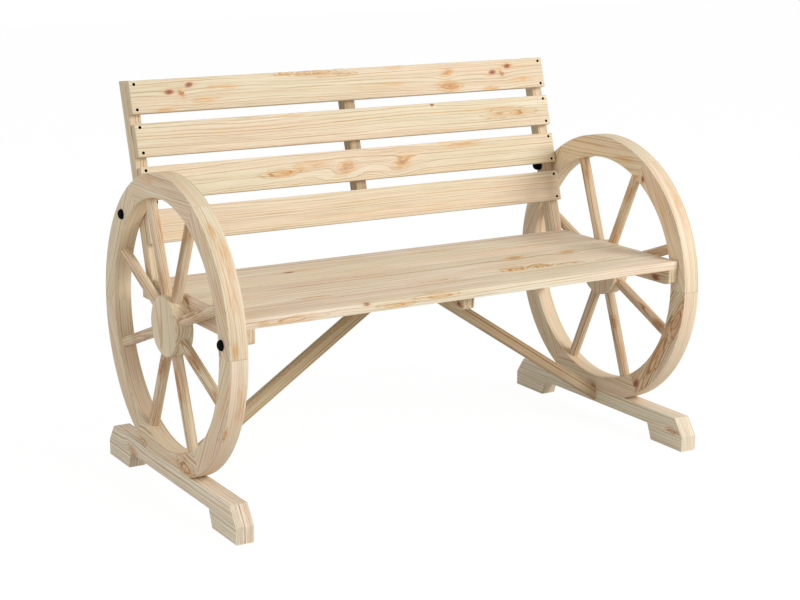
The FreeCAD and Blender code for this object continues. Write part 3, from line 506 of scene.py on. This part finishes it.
def wood_finish(name, slot, middle, grain, across, half, seed, pith,
                ring=4.0, contrast=1.0, wheel=None, painted_shade="FFFFFF"):
    """The finish of one length, its grain laid along it and cut from its own place in the log."""
    finish = bpy.data.materials.new(f"{name}_finish")
    recipe = blank_recipe(finish)
    grain = Vector(grain).normalized()
    across = Vector(across).normalized()
    turn = Matrix((grain, across, grain.cross(across))).transposed().to_euler()
    source = recipe.node("ShaderNodeTexCoord").outputs["Object"]
    point = recipe.out("ShaderNodeMapping", {
        "Vector": source, "Location": middle, "Rotation": turn, "Scale": (MM, MM, MM),
    }, vector_type="TEXTURE")
    offset = tuple(seed * step for step in LOG_STEPS)
    facing = recipe.node("ShaderNodeNewGeometry").outputs["Normal"]
    end = recipe.ramp(recipe.math("ABSOLUTE", recipe.vector("DOT_PRODUCT", facing, tuple(grain))), 0.55, 0.9)
    cut = recipe.ramp(end, 0.15, 0.25)
    edge_point = point

    # On a rim's treads the grain runs round the wheel
    if wheel is not None:
        cut = recipe.ramp(recipe.math("ABSOLUTE", recipe.parts(facing)["X"]), 0.45, 0.55, 1.0, 0.0)
        run, rise = round_the_rim(recipe, recipe.vector("SUBTRACT", source, wheel), grain, across)
        depth = recipe.parts(point)["Z"]
        edge_point = recipe.join(0.0, rise, depth)
        half = (WHEEL_RADIUS, RIM_WIDTH / 2, WHEEL_THICKNESS / 2)
        bend = recipe.vector("SUBTRACT", recipe.join(run, rise, depth), point)
        point = recipe.vector("ADD", point, recipe.vector("MULTIPLY", bend, recipe.join(cut, cut, cut)))
        contrast = recipe.linear(cut, TREAD_CONTRAST - contrast, contrast)
    # The edge mask, for wear and for a painted highlight along the edges
    wear_and_highlight = recipe.out("ShaderNodeGroup", {"Point": edge_point, "Half": half, "Seed": offset}, node_tree=ARRIS)
    *colours, pallor = TIMBERS[slot]
    # Every colour of a length is darkened by its painted shade, white where it has none
    pale, dark, blush, heartwood = (tinted(text, painted_shade) for text in colours)
    timber = recipe.node("ShaderNodeGroup", {
        **add_knots(recipe, name, point), "Board": point, "Seed": offset, "Pith": (0.0, *pith), "Ring": ring,
        "Pale": pale, "Grain": dark, "Blush": blush, "Knot": heartwood, "Contrast": contrast,
        "Pallor": pallor, "End": end, "Cut": cut, "Wear and highlight": wear_and_highlight,
    }, node_tree=TIMBER).outputs
    cover(recipe, timber["Height"], 0.35, 0.25, {
        "Base Color": timber["Colour"], "Roughness": timber["Roughness"], "IOR": 1.42})
    return finish


def metal_finish(name, colour, scratch, metallic, rough, uneven, sheen=0.5):
    """Metal, paint or moulding with a faint mottle and fine scratches."""
    finish = bpy.data.materials.new(name)
    recipe = blank_recipe(finish)
    source = recipe.vector("MULTIPLY", recipe.node("ShaderNodeTexCoord").outputs["Object"], (1 / MM,) * 3)
    mottle = recipe.noise(source, (0.5, 0.5, 0.5), 4.0, 0.6)[0]
    marks = recipe.ramp(recipe.noise(source, (0.9, 3.1, 0.7), 2.0)[0], 0.62, 0.75)
    shaded = recipe.blend(recipe.times(marks, 0.5), shade(colour), shade(scratch))
    cover(recipe, mottle, 0.2, 0.1, {
        "Base Color": shaded, "Roughness": recipe.linear(mottle, uneven, rough - uneven / 2),
        "Metallic": metallic, "Specular IOR Level": sheen})
    return finish


METALS = {
    "bright_steel": metal_finish("zinc_plate", "B9BBBD", "8D8F92", 1.0, 0.34, 0.2),
    "black_steel": metal_finish("blackened_steel", "010101", "050505", 0.0, 0.7, 0.2, 0.03),
    "black_plastic": metal_finish("moulded_black", "010101", "050505", 0.0, 0.62, 0.18, 0.06),
}


def geometry_tree(name, inputs):
    """An empty geometry tree with named inputs and one for its finish."""
    return new_group(name, "GeometryNodeTree", {**inputs, "Finish": "Material"}, {"Geometry": "Geometry"})


def finished(recipe, given, result, geometry):
    """Closes a geometry tree: what it made is real mesh in one finish."""
    real = recipe.out("GeometryNodeRealizeInstances", {"Geometry": geometry})
    faced = recipe.out("GeometryNodeSetMaterial", {"Geometry": real, "Material": given["Finish"]})
    recipe.feed(result["Geometry"], faced)
    return recipe.tree


def planed(recipe, given, line):
    """A planed length with rounded edges along a line, its own upright side kept up."""
    upright = recipe.out("GeometryNodeSetCurveNormal", {"Curve": line}, mode="Z_UP")
    outline = recipe.out("GeometryNodeCurvePrimitiveQuadrilateral", {
        "Width": given["Width"], "Height": given["Thickness"]})
    eased = recipe.out("GeometryNodeFilletCurve", {
        "Curve": outline, "Count": 4, "Radius": given["Easing"]}, mode="POLY")
    return recipe.out("GeometryNodeCurveToMesh", {
        "Curve": upright, "Profile Curve": eased, "Fill Caps": True})


def felloe_tree():
    """One curved length of a rim, cut off level below where it stands on its beam."""
    recipe, given, result = geometry_tree("felloe", {
        "Middle radius": "Float", "Width": "Float", "Thickness": "Float", "Easing": "Float",
        "Start": "Float", "Sweep": "Float", "Lowest": "Float"})
    arc = recipe.out("GeometryNodeCurveArc", {
        "Resolution": 65, "Radius": given["Middle radius"], "Start Angle": given["Start"],
        "Sweep Angle": given["Sweep"]})
    raised = recipe.out("GeometryNodeTransform", {
        "Geometry": planed(recipe, given, arc), "Rotation": (math.pi / 2, 0.0, math.pi / 2)})
    spot = recipe.parts(recipe.out("GeometryNodeInputPosition"))
    level = recipe.join(spot["X"], spot["Y"], recipe.math("MAXIMUM", spot["Z"], given["Lowest"]))
    flat = recipe.out("GeometryNodeSetPosition", {"Geometry": raised, "Position": level})
    return finished(recipe, given, result, flat)


def board_tree():
    """A planed board along X, with the slight bow of real timber."""
    recipe, given, result = geometry_tree("board", {
        "Length": "Float", "Width": "Float", "Thickness": "Float", "Easing": "Float", "Bow": "Float",
        "Seed": "Float"})
    half = recipe.times(given["Length"], 0.5)
    line = recipe.out("GeometryNodeCurvePrimitiveLine", {
        "Start": recipe.join(recipe.times(half, -1.0), 0.0, 0.0), "End": recipe.join(half, 0.0, 0.0)})
    points = recipe.out("GeometryNodeResampleCurve", {"Curve": line, "Count": 25})
    spot = recipe.out("GeometryNodeInputPosition")
    seeded = recipe.vector("ADD", spot, recipe.join(0.0, given["Seed"], 0.0))
    offset = recipe.vector("MULTIPLY", recipe.drift(seeded, (3.0, 3.0, 3.0), 1.0),
                           recipe.join(0.0, given["Bow"], given["Bow"]))
    bowed = recipe.out("GeometryNodeSetPosition", {"Geometry": points, "Offset": offset})
    return finished(recipe, given, result, planed(recipe, given, bowed))


def spoke_tree():
    """A turned stick between two points, a little uneven in thickness."""
    recipe, given, result = geometry_tree("spoke", {
        "From": "Vector", "To": "Vector", "Diameter": "Float", "Seed": "Float"})
    line = recipe.out("GeometryNodeCurvePrimitiveLine", {"Start": given["From"], "End": given["To"]})
    points = recipe.out("GeometryNodeResampleCurve", {"Curve": line, "Count": 33})
    spot = recipe.out("GeometryNodeInputPosition")
    seeded = recipe.vector("ADD", spot, recipe.join(given["Seed"], 0.0, 0.0))
    uneven = recipe.linear(recipe.noise(seeded, (14.0, 14.0, 14.0), 1.0)[0], 0.03, 0.985)
    size = recipe.out("GeometryNodeSetCurveRadius", {"Curve": points, "Radius": uneven})
    section = recipe.out("GeometryNodeCurvePrimitiveCircle", {
        "Resolution": 40, "Radius": recipe.times(given["Diameter"], 0.5)})
    swept = recipe.out("GeometryNodeCurveToMesh", {
        "Curve": size, "Profile Curve": section, "Fill Caps": True,
        "Scale": recipe.out("GeometryNodeInputRadius")})
    return finished(recipe, given, result, swept)


def setting_tree():
    """Sets a fastener on each point of a mesh, stood along the point's axis and turned at random."""
    recipe, given, result = geometry_tree("fastener setting", {
        "Geometry": "Geometry", "Fastener": "Object", "Turn seed": "Int"})
    axis = recipe.out("GeometryNodeInputNamedAttribute", {"Name": "axis"}, data_type="FLOAT_VECTOR")
    stood = recipe.out("FunctionNodeAlignRotationToVector", {"Vector": axis}, axis="Z")
    # For a plain number the limits are inputs 2 and 3, the seed is input 8 and the result is output 1
    turn = recipe.node("FunctionNodeRandomValue", {
        2: 0.0, 3: math.tau, 8: given["Turn seed"]}, data_type="FLOAT").outputs[1]
    spin = recipe.out("FunctionNodeAxisAngleToRotation", {"Axis": (0.0, 0.0, 1.0), "Angle": turn})
    turned_about = recipe.out("FunctionNodeRotateRotation", {
        "Rotation": stood, "Rotate By": spin}, rotation_space="LOCAL")
    form = recipe.node("GeometryNodeObjectInfo", {"Object": given["Fastener"]}).outputs["Geometry"]
    placed = recipe.out("GeometryNodeInstanceOnPoints", {
        "Points": given["Geometry"], "Instance": form, "Rotation": turned_about})
    return finished(recipe, given, result, placed)


FELLOE_TREE = felloe_tree()
BOARD_TREE = board_tree()
SPOKE_TREE = spoke_tree()
SETTING_TREE = setting_tree()


def add_object(name, content):
    """A new object in the scene that shows a mesh, a camera or a lamp."""
    piece = bpy.data.objects.new(name, content)
    bpy.context.scene.collection.objects.link(piece)
    return piece


def add_form(name, form):
    """A new object in the scene from a form, which is used up."""
    mesh = bpy.data.meshes.new(name)
    form.to_mesh(mesh)
    form.free()
    return add_object(name, mesh)


def settle(piece):
    """Turns a piece and its modifiers into plain mesh."""
    bpy.context.view_layer.update()
    made = bpy.data.meshes.new_from_object(piece.evaluated_get(bpy.context.evaluated_depsgraph_get()))
    piece.modifiers.clear()
    piece.data = made
    return piece


def grow(name, tree, base=None, **inputs):
    """The mesh that a geometry tree makes from its named inputs, as a plain object."""
    piece = add_object(name, base or bpy.data.meshes.new(name))
    growing = piece.modifiers.new("grow", "NODES")
    growing.node_group = tree
    sockets = {item.name: item.identifier for item in tree.interface.items_tree if item.in_out == "INPUT"}
    for label, value in inputs.items():
        growing[sockets[label.replace("_", " ")]] = value
    return settle(piece)


def ease_ends(piece, width, sharper_than):
    """Eases the edges of a piece that are sharper than an angle in degrees."""
    set_up(piece.modifiers.new("ease", "BEVEL"), width=width * MM, segments=3, limit_method="ANGLE",
           angle_limit=math.radians(sharper_than))
    set_up(piece.modifiers.new("weld", "WELD"), merge_threshold=WELD_REACH * MM)
    return settle(piece)


def carve(piece, name, form, crossed=False):
    """Cuts a form out of a piece. The parts of a crossed form run through each other."""
    cutter = add_form(name, form)
    set_up(piece.modifiers.new("carve", "BOOLEAN"), operation="DIFFERENCE", solver="EXACT",
           use_self=crossed, object=cutter)
    settle(piece)
    bpy.data.objects.remove(cutter)
    return piece


def smooth(piece, limit=30):
    """Smooth faces, with creases where faces meet at more than an angle in degrees."""
    mesh = piece.data
    mesh.polygons.foreach_set("use_smooth", [True] * len(mesh.polygons))
    mesh.set_sharp_from_angle(angle=math.radians(limit))
    return piece


def fit(piece, node, body="root"):
    """Puts a piece in the place of the solid that it shows."""
    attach(piece, body)
    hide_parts(node)
    return piece


def box_of(node):
    """The middle of a solid's box, and half its size."""
    low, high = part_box(node)
    return (low + high) / 2, (high - low) / 2


def on_wheel(side, radius=0, angle=0):
    """A point of a wheel, or its middle: the angle in degrees runs from the top towards the back."""
    turn = math.radians(angle)
    return Vector((side * WHEEL_MIDDLE, radius * math.sin(turn), WHEEL_CENTRE + radius * math.cos(turn))) * MM


def solids_of(node):
    """The points of each solid of a node of fasteners, in the same order each run."""
    form = bmesh.new()
    form.from_mesh(frame["nodes"][node].data)
    bmesh.ops.remove_doubles(form, verts=form.verts, dist=1e-6)
    left = dict.fromkeys(form.verts)
    groups = []
    while left:
        queue = [left.popitem()[0]]
        found = []
        while queue:
            point = queue.pop()
            found.append(point.co.copy())
            for edge in point.link_edges:
                other = edge.other_vert(point)
                if other in left:
                    del left[other]
                    queue.append(other)
        groups.append(found)
    form.free()
    return groups


def screw_stations(node):
    """Where the heads of a node's screws lie, with the way out of each, and a head's radius and a length."""
    stations = []
    for points in solids_of(node):
        middle = sum(points, Vector()) / len(points)
        tip = max(points, key=lambda point: (point - middle).length)
        far = max(points, key=lambda point: (point - tip).length)
        rim = [point for point in points if (point - tip).length > 0.9 * (far - tip).length]
        out = (sum(rim, Vector()) / len(rim) - tip).normalized()
        length = max((point - tip).dot(out) for point in points)
        stations.append((tip + out * length, out))
        head = max(((point - tip) - out * (point - tip).dot(out)).length for point in points)
    return stations, head, length


def countersink(piece, stations, head, cone):
    """Cuts a countersink for each screw head into a board."""
    clearance, overrun = SINK_CLEARANCE * MM, SINK_OVERRUN * MM
    form = bmesh.new()
    for point, out in stations:
        turn = out.to_track_quat("Z", "Y").to_matrix().to_4x4()
        place = Matrix.Translation(point + out * (overrun - cone) / 2) @ turn
        bmesh.ops.create_cone(form, cap_ends=True, segments=24, radius1=head - cone + clearance,
                              radius2=head + overrun + clearance, depth=cone + overrun, matrix=place)
    return carve(piece, "countersinks", form)


def turned(name, outline, segments):
    """A solid turned about Z from an outline of radii and heights that starts and ends on the axis."""
    form = bmesh.new()
    points = [form.verts.new((radius, 0.0, height)) for radius, height in outline]
    edges = [form.edges.new(pair) for pair in zip(points, points[1:])]
    bmesh.ops.spin(form, geom=points + edges, cent=(0, 0, 0), axis=(0, 0, 1), angle=math.tau, steps=segments,
                   use_merge=True)
    bmesh.ops.remove_doubles(form, verts=form.verts, dist=1e-6)
    bmesh.ops.recalc_face_normals(form, faces=form.faces)
    return add_form(name, form)


# Rims: six curved lengths each, cut from straight-grained boards, some of stronger figure.
# The pith lies beside each length, at a place that follows from its seed, so that no two look alike.
BOLD_FELLOES = {"right_felloe_4": 1.9, "left_felloe_3": 1.2}
felloe_sweep = math.tau / FELLOES
joint_angle = JOINT_GAP / RIM_MIDDLE
for word, side in SIDES.items():
    hub_point = on_wheel(side)
    for index in range(1, FELLOES + 1):
        node = f"{word}_felloe_{index}"
        angle = index * 360 / FELLOES
        turn = math.radians(angle)
        grain = (0.0, math.cos(turn), -math.sin(turn))
        outward = (0.0, math.sin(turn), math.cos(turn))
        seed = index + (0 if side < 0 else 11)
        finish = wood_finish(
            node, "rim_wood", on_wheel(side, RIM_MIDDLE, angle), grain, outward, None, seed,
            pith=(-78 + 11 * (seed % 3), 52 if seed % 2 else -58), ring=3.4 + 0.6 * (seed % 3),
            contrast=BOLD_FELLOES.get(node, 0.9), wheel=hub_point)
        piece = grow(
            f"planed_{node}", FELLOE_TREE, Middle_radius=RIM_MIDDLE * MM, Width=RIM_WIDTH * MM,
            Thickness=WHEEL_THICKNESS * MM, Easing=RIM_EASING * MM,
            Start=math.pi / 2 - turn - felloe_sweep / 2 + joint_angle, Sweep=felloe_sweep - 2 * joint_angle,
            Lowest=(FLAT_LEVEL - WHEEL_CENTRE) * MM, Finish=finish)
        piece.data.transform(Matrix.Translation(hub_point))
        fit(smooth(ease_ends(piece, JOINT_EASING, 75)), node)

# Spokes
for word, side in SIDES.items():
    for index in range(1, SPOKES + 1):
        node = f"{word}_spoke_{index}"
        angle = index * 360 / SPOKES - 180 / SPOKES + SPOKE_TURN
        low, high = on_wheel(side, SPOKE_START, angle), on_wheel(side, SPOKE_END, angle)
        seed = 30 + index + (0 if side < 0 else 9)
        half = ((SPOKE_END - SPOKE_START) / 2, SPOKE_DIAMETER, SPOKE_DIAMETER)
        finish = wood_finish(node, "spoke_wood", (low + high) / 2, high - low, (1.0, 0.0, 0.0), half, seed,
                             pith=(35 + 9 * (seed % 5), -40 + 21 * (seed % 3)), ring=3.2, contrast=1.2)
        piece = grow(f"turned_{node}", SPOKE_TREE, From=low, To=high, Diameter=SPOKE_DIAMETER * MM,
                     Seed=float(seed), Finish=finish)
        fit(smooth(piece, 50), node)

# Hubs, their grain a little off upright
HUB_GRAIN_LEAN = 0.12
for word, side in SIDES.items():
    node = f"{word}_hub"
    half = WHEEL_THICKNESS / 2
    outline = [(0.0, -half), (HUB_RADIUS, -half), (HUB_RADIUS, half), (0.0, half)]
    piece = turned(f"turned_{node}", [(radius * MM, height * MM) for radius, height in outline], 96)
    piece.data.transform(Matrix.Translation(on_wheel(side)) @ Matrix.Rotation(math.pi / 2, 4, "Y"))
    finish = wood_finish(
        node, "hub_wood", box_of(node)[0], (0.0, HUB_GRAIN_LEAN, 1.0), (0.0, 1.0, -HUB_GRAIN_LEAN),
        (HUB_RADIUS, HUB_RADIUS, half + HUB_EASING), 60 + side, pith=(22, 58 * side), ring=4.2, contrast=0.8)
    piece.data.materials.append(finish)
    fit(smooth(ease_ends(piece, HUB_EASING, 60)), node)

# Boards of the seat and slats of the back
tilt = math.radians(BACK_TILT)
slat_up = (0.0, math.sin(tilt), math.cos(tilt))
flat_boards = [(f"seat_board_{word}", (0.0, 1.0, 0.0), None) for word in ("front", "middle", "rear")]
flat_boards += [(f"back_slat_{index}", slat_up, SLAT_WIDTH) for index in range(1, SLATS + 1)]
board_piths = {
    "seat_board_front": (-85, -62), "seat_board_middle": (-110, -70), "seat_board_rear": (120, -85),
    "back_slat_1": (-66, -44), "back_slat_2": (58, -58), "back_slat_3": (-48, -40), "back_slat_4": (96, -46),
}
slat_stations, slat_head = screw_stations("slat_screws")[:2]
slat_cone = slat_head - SHANKS["slat_screws"] / 2 * MM
for seed, (node, across, width) in enumerate(flat_boards, 70):
    slot = node_slots[node]
    easing, ring = (BOARD_EASING, 2.7) if slot == "back_wood" else (SEAT_EASING, 4.2)
    middle, half = box_of(node)
    width = width or 2 * half.y / MM
    sizes = (half.x / MM, width / 2, BOARD_THICKNESS / 2)
    along, across = Vector((1.0, 0.0, 0.0)), Vector(across)
    finish = wood_finish(node, slot, middle, along, across, sizes, seed, pith=board_piths[node], ring=ring,
                         contrast=0.9)
    piece = grow(f"planed_{node}", BOARD_TREE, Length=2 * half.x, Width=(width - BOW / 2) * MM,
                 Thickness=BOARD_THICKNESS * MM, Easing=easing * MM, Bow=BOW * MM, Seed=float(seed),
                 Finish=finish)
    upright = Matrix((along, across, along.cross(across))).transposed()
    piece.data.transform(Matrix.Translation(middle) @ upright.to_4x4())
    ease_ends(piece, easing, 70)
    if slot == "back_wood":
        held = [(point, out) for point, out in slat_stations
                if abs((point - middle).dot(across)) < width / 2 * MM]
        countersink(piece, held, slat_head, slat_cone)
    fit(smooth(piece), node)

# Beams, battens, posts and braces keep their solids, each in a finish of its own.
# Half a size of 1000 mm is far outside a piece, so that its ends show no worn edges and no painted edge
# highlight.
UNMARKED_HALF = 1000
# Painted shade: the centre post, recessed behind the slats, and the braces under the seat are darkened as if
# shaded
PAINTED_SHADE_TONES = {"centre_post": "D6CFC4", "left_brace": "EAE4DA", "right_brace": "EAE4DA"}
# Painted light: the right beam's grain is drawn weaker so that the beam reads lighter, as if its inner side
# caught more light
PAINTED_LIGHT_CONTRASTS = {"right_beam": 0.65}
lengths = {}
for word, side in SIDES.items():
    lengths[f"{word}_beam"] = ((0, 1, 0), (0, 0, 1), (70, 64 * side), 3.6)
    lengths[f"{word}_batten"] = ((0, 1, 0), (0, 0, 1), (-30, 30 * side), 3.0)
    lengths[f"{word}_post"] = (slat_up, (1, 0, 0), (24 * side, -44), 3.2)
    low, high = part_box(f"{word}_brace")
    slope = Vector((-side * (high.x - low.x), 0.0, high.z - low.z - BRACE_CUT_HEIGHT * MM))
    lengths[f"{word}_brace"] = (slope, (0, 1, 0), (18, 52), 3.4)
lengths["centre_batten"] = ((0, 1, 0), (0, 0, 1), (-26, 34), 3.0)
lengths["centre_post"] = (slat_up, (1, 0, 0), (30, -40), 3.2)
for seed, (node, (grain, across, pith, ring)) in enumerate(lengths.items(), 90):
    middle, half = box_of(node)
    if node.endswith("_brace"):
        sizes = (UNMARKED_HALF, FRAME_WIDTH / 2, FRAME_WIDTH / 2)
    elif node.endswith("_post"):
        sizes = (UNMARKED_HALF, FRAME_WIDTH / 2, POST_DEPTH / 2)
    else:
        sizes = (half.y / MM, half.z / MM, half.x / MM)
    finish = wood_finish(node, node_slots[node], middle, grain, across, sizes, seed, pith=pith, ring=ring,
                         contrast=PAINTED_LIGHT_CONTRASTS.get(node, 1.05), painted_shade=PAINTED_SHADE_TONES.get(node, "FFFFFF"))
    frame["nodes"][node].data.materials[0] = finish

# Dowels in the joints
for seed, node in enumerate(("felloe_dowels", "brace_dowels"), 110):
    finish = wood_finish(node, "dowel_wood", (0, 0, 0), (0, 1, 0), (0, 0, 1), (UNMARKED_HALF,) * 3, seed,
                         pith=(20, 30))
    frame["nodes"][node].data.materials[0] = finish


def set_fasteners(name, node, template, stations, turn_seed=1):
    """Sets a fastener at each station, a point and an axis, in place of a node's solids."""
    mesh = bpy.data.meshes.new(name)
    mesh.from_pydata([point for point, axis in stations], [], [])
    axes = mesh.attributes.new("axis", "FLOAT_VECTOR", "POINT")
    axes.data.foreach_set("vector", [part for point, axis in stations for part in axis])
    piece = grow(name, SETTING_TREE, base=mesh, Fastener=template, Turn_seed=turn_seed,
                 Finish=METALS[node_slots[node]])
    bpy.data.objects.remove(template)
    return fit(smooth(piece, 40), node)


# The cross recess of a screw, as shares of its head's radius and of the depth of its cone
RECESS_REACH = 0.62
RECESS_WIDTH = 0.16
RECESS_DEPTH = 0.55


def screw(name, head, shank, length):
    """A countersunk screw pointing down from the origin, with a cross recess in its head."""
    cone = head - shank

    # The edge of the head is broken, and the point is as long as the shank is thick
    piece = turned(name, [
        (0, 0), (head * 0.97, 0), (head, -0.05 * cone), (shank, -cone), (shank, -length + 2 * shank),
        (0, -length)], 20)
    form = bmesh.new()
    for across, along in ((RECESS_REACH, RECESS_WIDTH), (RECESS_WIDTH, RECESS_REACH)):
        for point in bmesh.ops.create_cube(form, size=2.0)["verts"]:
            inner = head if point.co.z > 0 else head / 2
            point.co = Vector((point.co.x * across * inner, point.co.y * along * inner,
                               point.co.z * RECESS_DEPTH * cone))
    return carve(piece, f"{name}_driver", form, crossed=True)


for seed, (node, shank) in enumerate(SHANKS.items(), 3):
    stations, head, length = screw_stations(node)
    flush = [(point - out * SINK_DEPTH * MM, out) for point, out in stations]
    template = screw(f"{node}_form", head, shank / 2 * MM, length)
    set_fasteners(f"recessed_{node}", node, template, flush, seed)


def cap(name, skirt, height):
    """A domed cap with a small lip, standing on the origin."""
    radius = CAP_DIAMETER / 2
    top = radius - CAP_LIP
    outline = [(0.0, 0.0), (radius - CAP_FOOT, 0.0), (radius, CAP_FOOT), (radius, skirt - CAP_SHOULDER),
               (top, skirt)]
    steps = 9
    for step in range(1, steps):
        turn = math.pi / 2 * step / steps
        outline.append((top * math.cos(turn), skirt + (height - skirt) * math.sin(turn)))
    outline.append((0.0, height))
    return turned(name, [(across * MM, up * MM) for across, up in outline], 40)


for node, skirt, height, outward in (("low_caps", 2.5, 8, 1), ("tall_caps", 5, 17, -1)):
    stations = []
    for points in solids_of(node):
        low = Vector([min(point[axis] for point in points) for axis in range(3)])
        high = Vector([max(point[axis] for point in points) for axis in range(3)])
        side = 1 if low.x > 0 else -1
        foot = (low + high) / 2
        foot.x = low.x if side * outward > 0 else high.x
        stations.append((foot, Vector((side * outward, 0, 0))))
    set_fasteners(f"moulded_{node}", node, cap(f"{node}_form", skirt, height), stations)

for node in ("coach_screws", "hanger_bolts", "bolt_washers", "bolt_nuts"):
    frame["nodes"][node].data.materials[0] = METALS["bright_steel"]

# Camera at the photograph's angle: its place in metres, its lens in millimetres, its angles in degrees
CAMERA_PLACE = (-1.82727, -3.01074, 1.17514)
CAMERA_LENS = 77.095
CAMERA_TURN = -31.106
CAMERA_DROP = 13.391
CAMERA_ROLL = 0.126
camera_data = set_up(bpy.data.cameras.new("camera"), sensor_width=36, lens=CAMERA_LENS, clip_end=60)
camera = add_object("camera", camera_data)
camera.location = CAMERA_PLACE
camera.rotation_euler = (Matrix.Rotation(math.radians(CAMERA_TURN), 3, "Z")
                         @ Matrix.Rotation(math.radians(90 - CAMERA_DROP), 3, "X")
                         @ Matrix.Rotation(math.radians(CAMERA_ROLL), 3, "Z")).to_euler()
bpy.context.scene.camera = camera

WHITE = (1.0, 1.0, 1.0, 1.0)


def seen_directly(recipe):
    """1 for a ray that the picture shows, and 0 for one that only lights the bench."""
    rays = recipe.node("ShaderNodeLightPath").outputs
    seen = recipe.math("MAXIMUM", rays["Is Camera Ray"], rays["Is Glossy Ray"])
    return recipe.math("MAXIMUM", seen, rays["Is Transmission Ray"])


# Floor: white to the camera, with the bench's soft shadow kept
FLOOR_REACH = 12
corners = [(x * FLOOR_REACH, y * FLOOR_REACH, 0) for x, y in ((-1, -1), (1, -1), (1, 1), (-1, 1))]
floor_mesh = bpy.data.meshes.new("floor")
floor_mesh.from_pydata(corners, [], [(0, 1, 2, 3)])
floor = add_object("floor", floor_mesh)
floor_finish = bpy.data.materials.new("studio_floor")
recipe = blank_recipe(floor_finish)
paint = recipe.out("ShaderNodeBsdfDiffuse", {"Color": (0.7, 0.7, 0.7, 1.0)})
glow = recipe.out("ShaderNodeEmission", {"Color": WHITE, "Strength": 1.08})
lift = recipe.out("ShaderNodeMixShader", {0: recipe.times(seen_directly(recipe), 0.88), 1: paint, 2: glow})
recipe.node("ShaderNodeOutputMaterial", {"Surface": lift})
floor.data.materials.append(floor_finish)

# Studio: a pale room seen as white, a broad key in front to the right and a weak fill on the left
world = bpy.data.worlds.new("studio")
recipe = blank_recipe(world)
room = recipe.out("ShaderNodeBackground", {"Color": WHITE, "Strength": 0.45})
white = recipe.out("ShaderNodeBackground", {"Color": WHITE, "Strength": 1.0})
mixed = recipe.out("ShaderNodeMixShader", {0: seen_directly(recipe), 1: room, 2: white})
recipe.node("ShaderNodeOutputWorld", {"Surface": mixed})
bpy.context.scene.world = world

# Lamps: place and size in metres and power in watts, all aimed at the seat
LAMP_AIM = Vector((0.0, 0.0, 0.4))
LAMPS = {
    "key": ((2.4, -4.1, 3.0), 2.4, 182.0),
    "fill": ((-4.0, -0.6, 1.8), 2.4, 30.0),
}
for name, (spot, size, power) in LAMPS.items():
    lamp_data = set_up(bpy.data.lights.new(name, "AREA"), size=size, energy=power)
    lamp = add_object(name, lamp_data)
    lamp.location = spot
    lamp.rotation_euler = (Vector(spot) - LAMP_AIM).to_track_quat("Z", "Y").to_euler()

bpy.context.scene.view_settings.view_transform = "Standard"
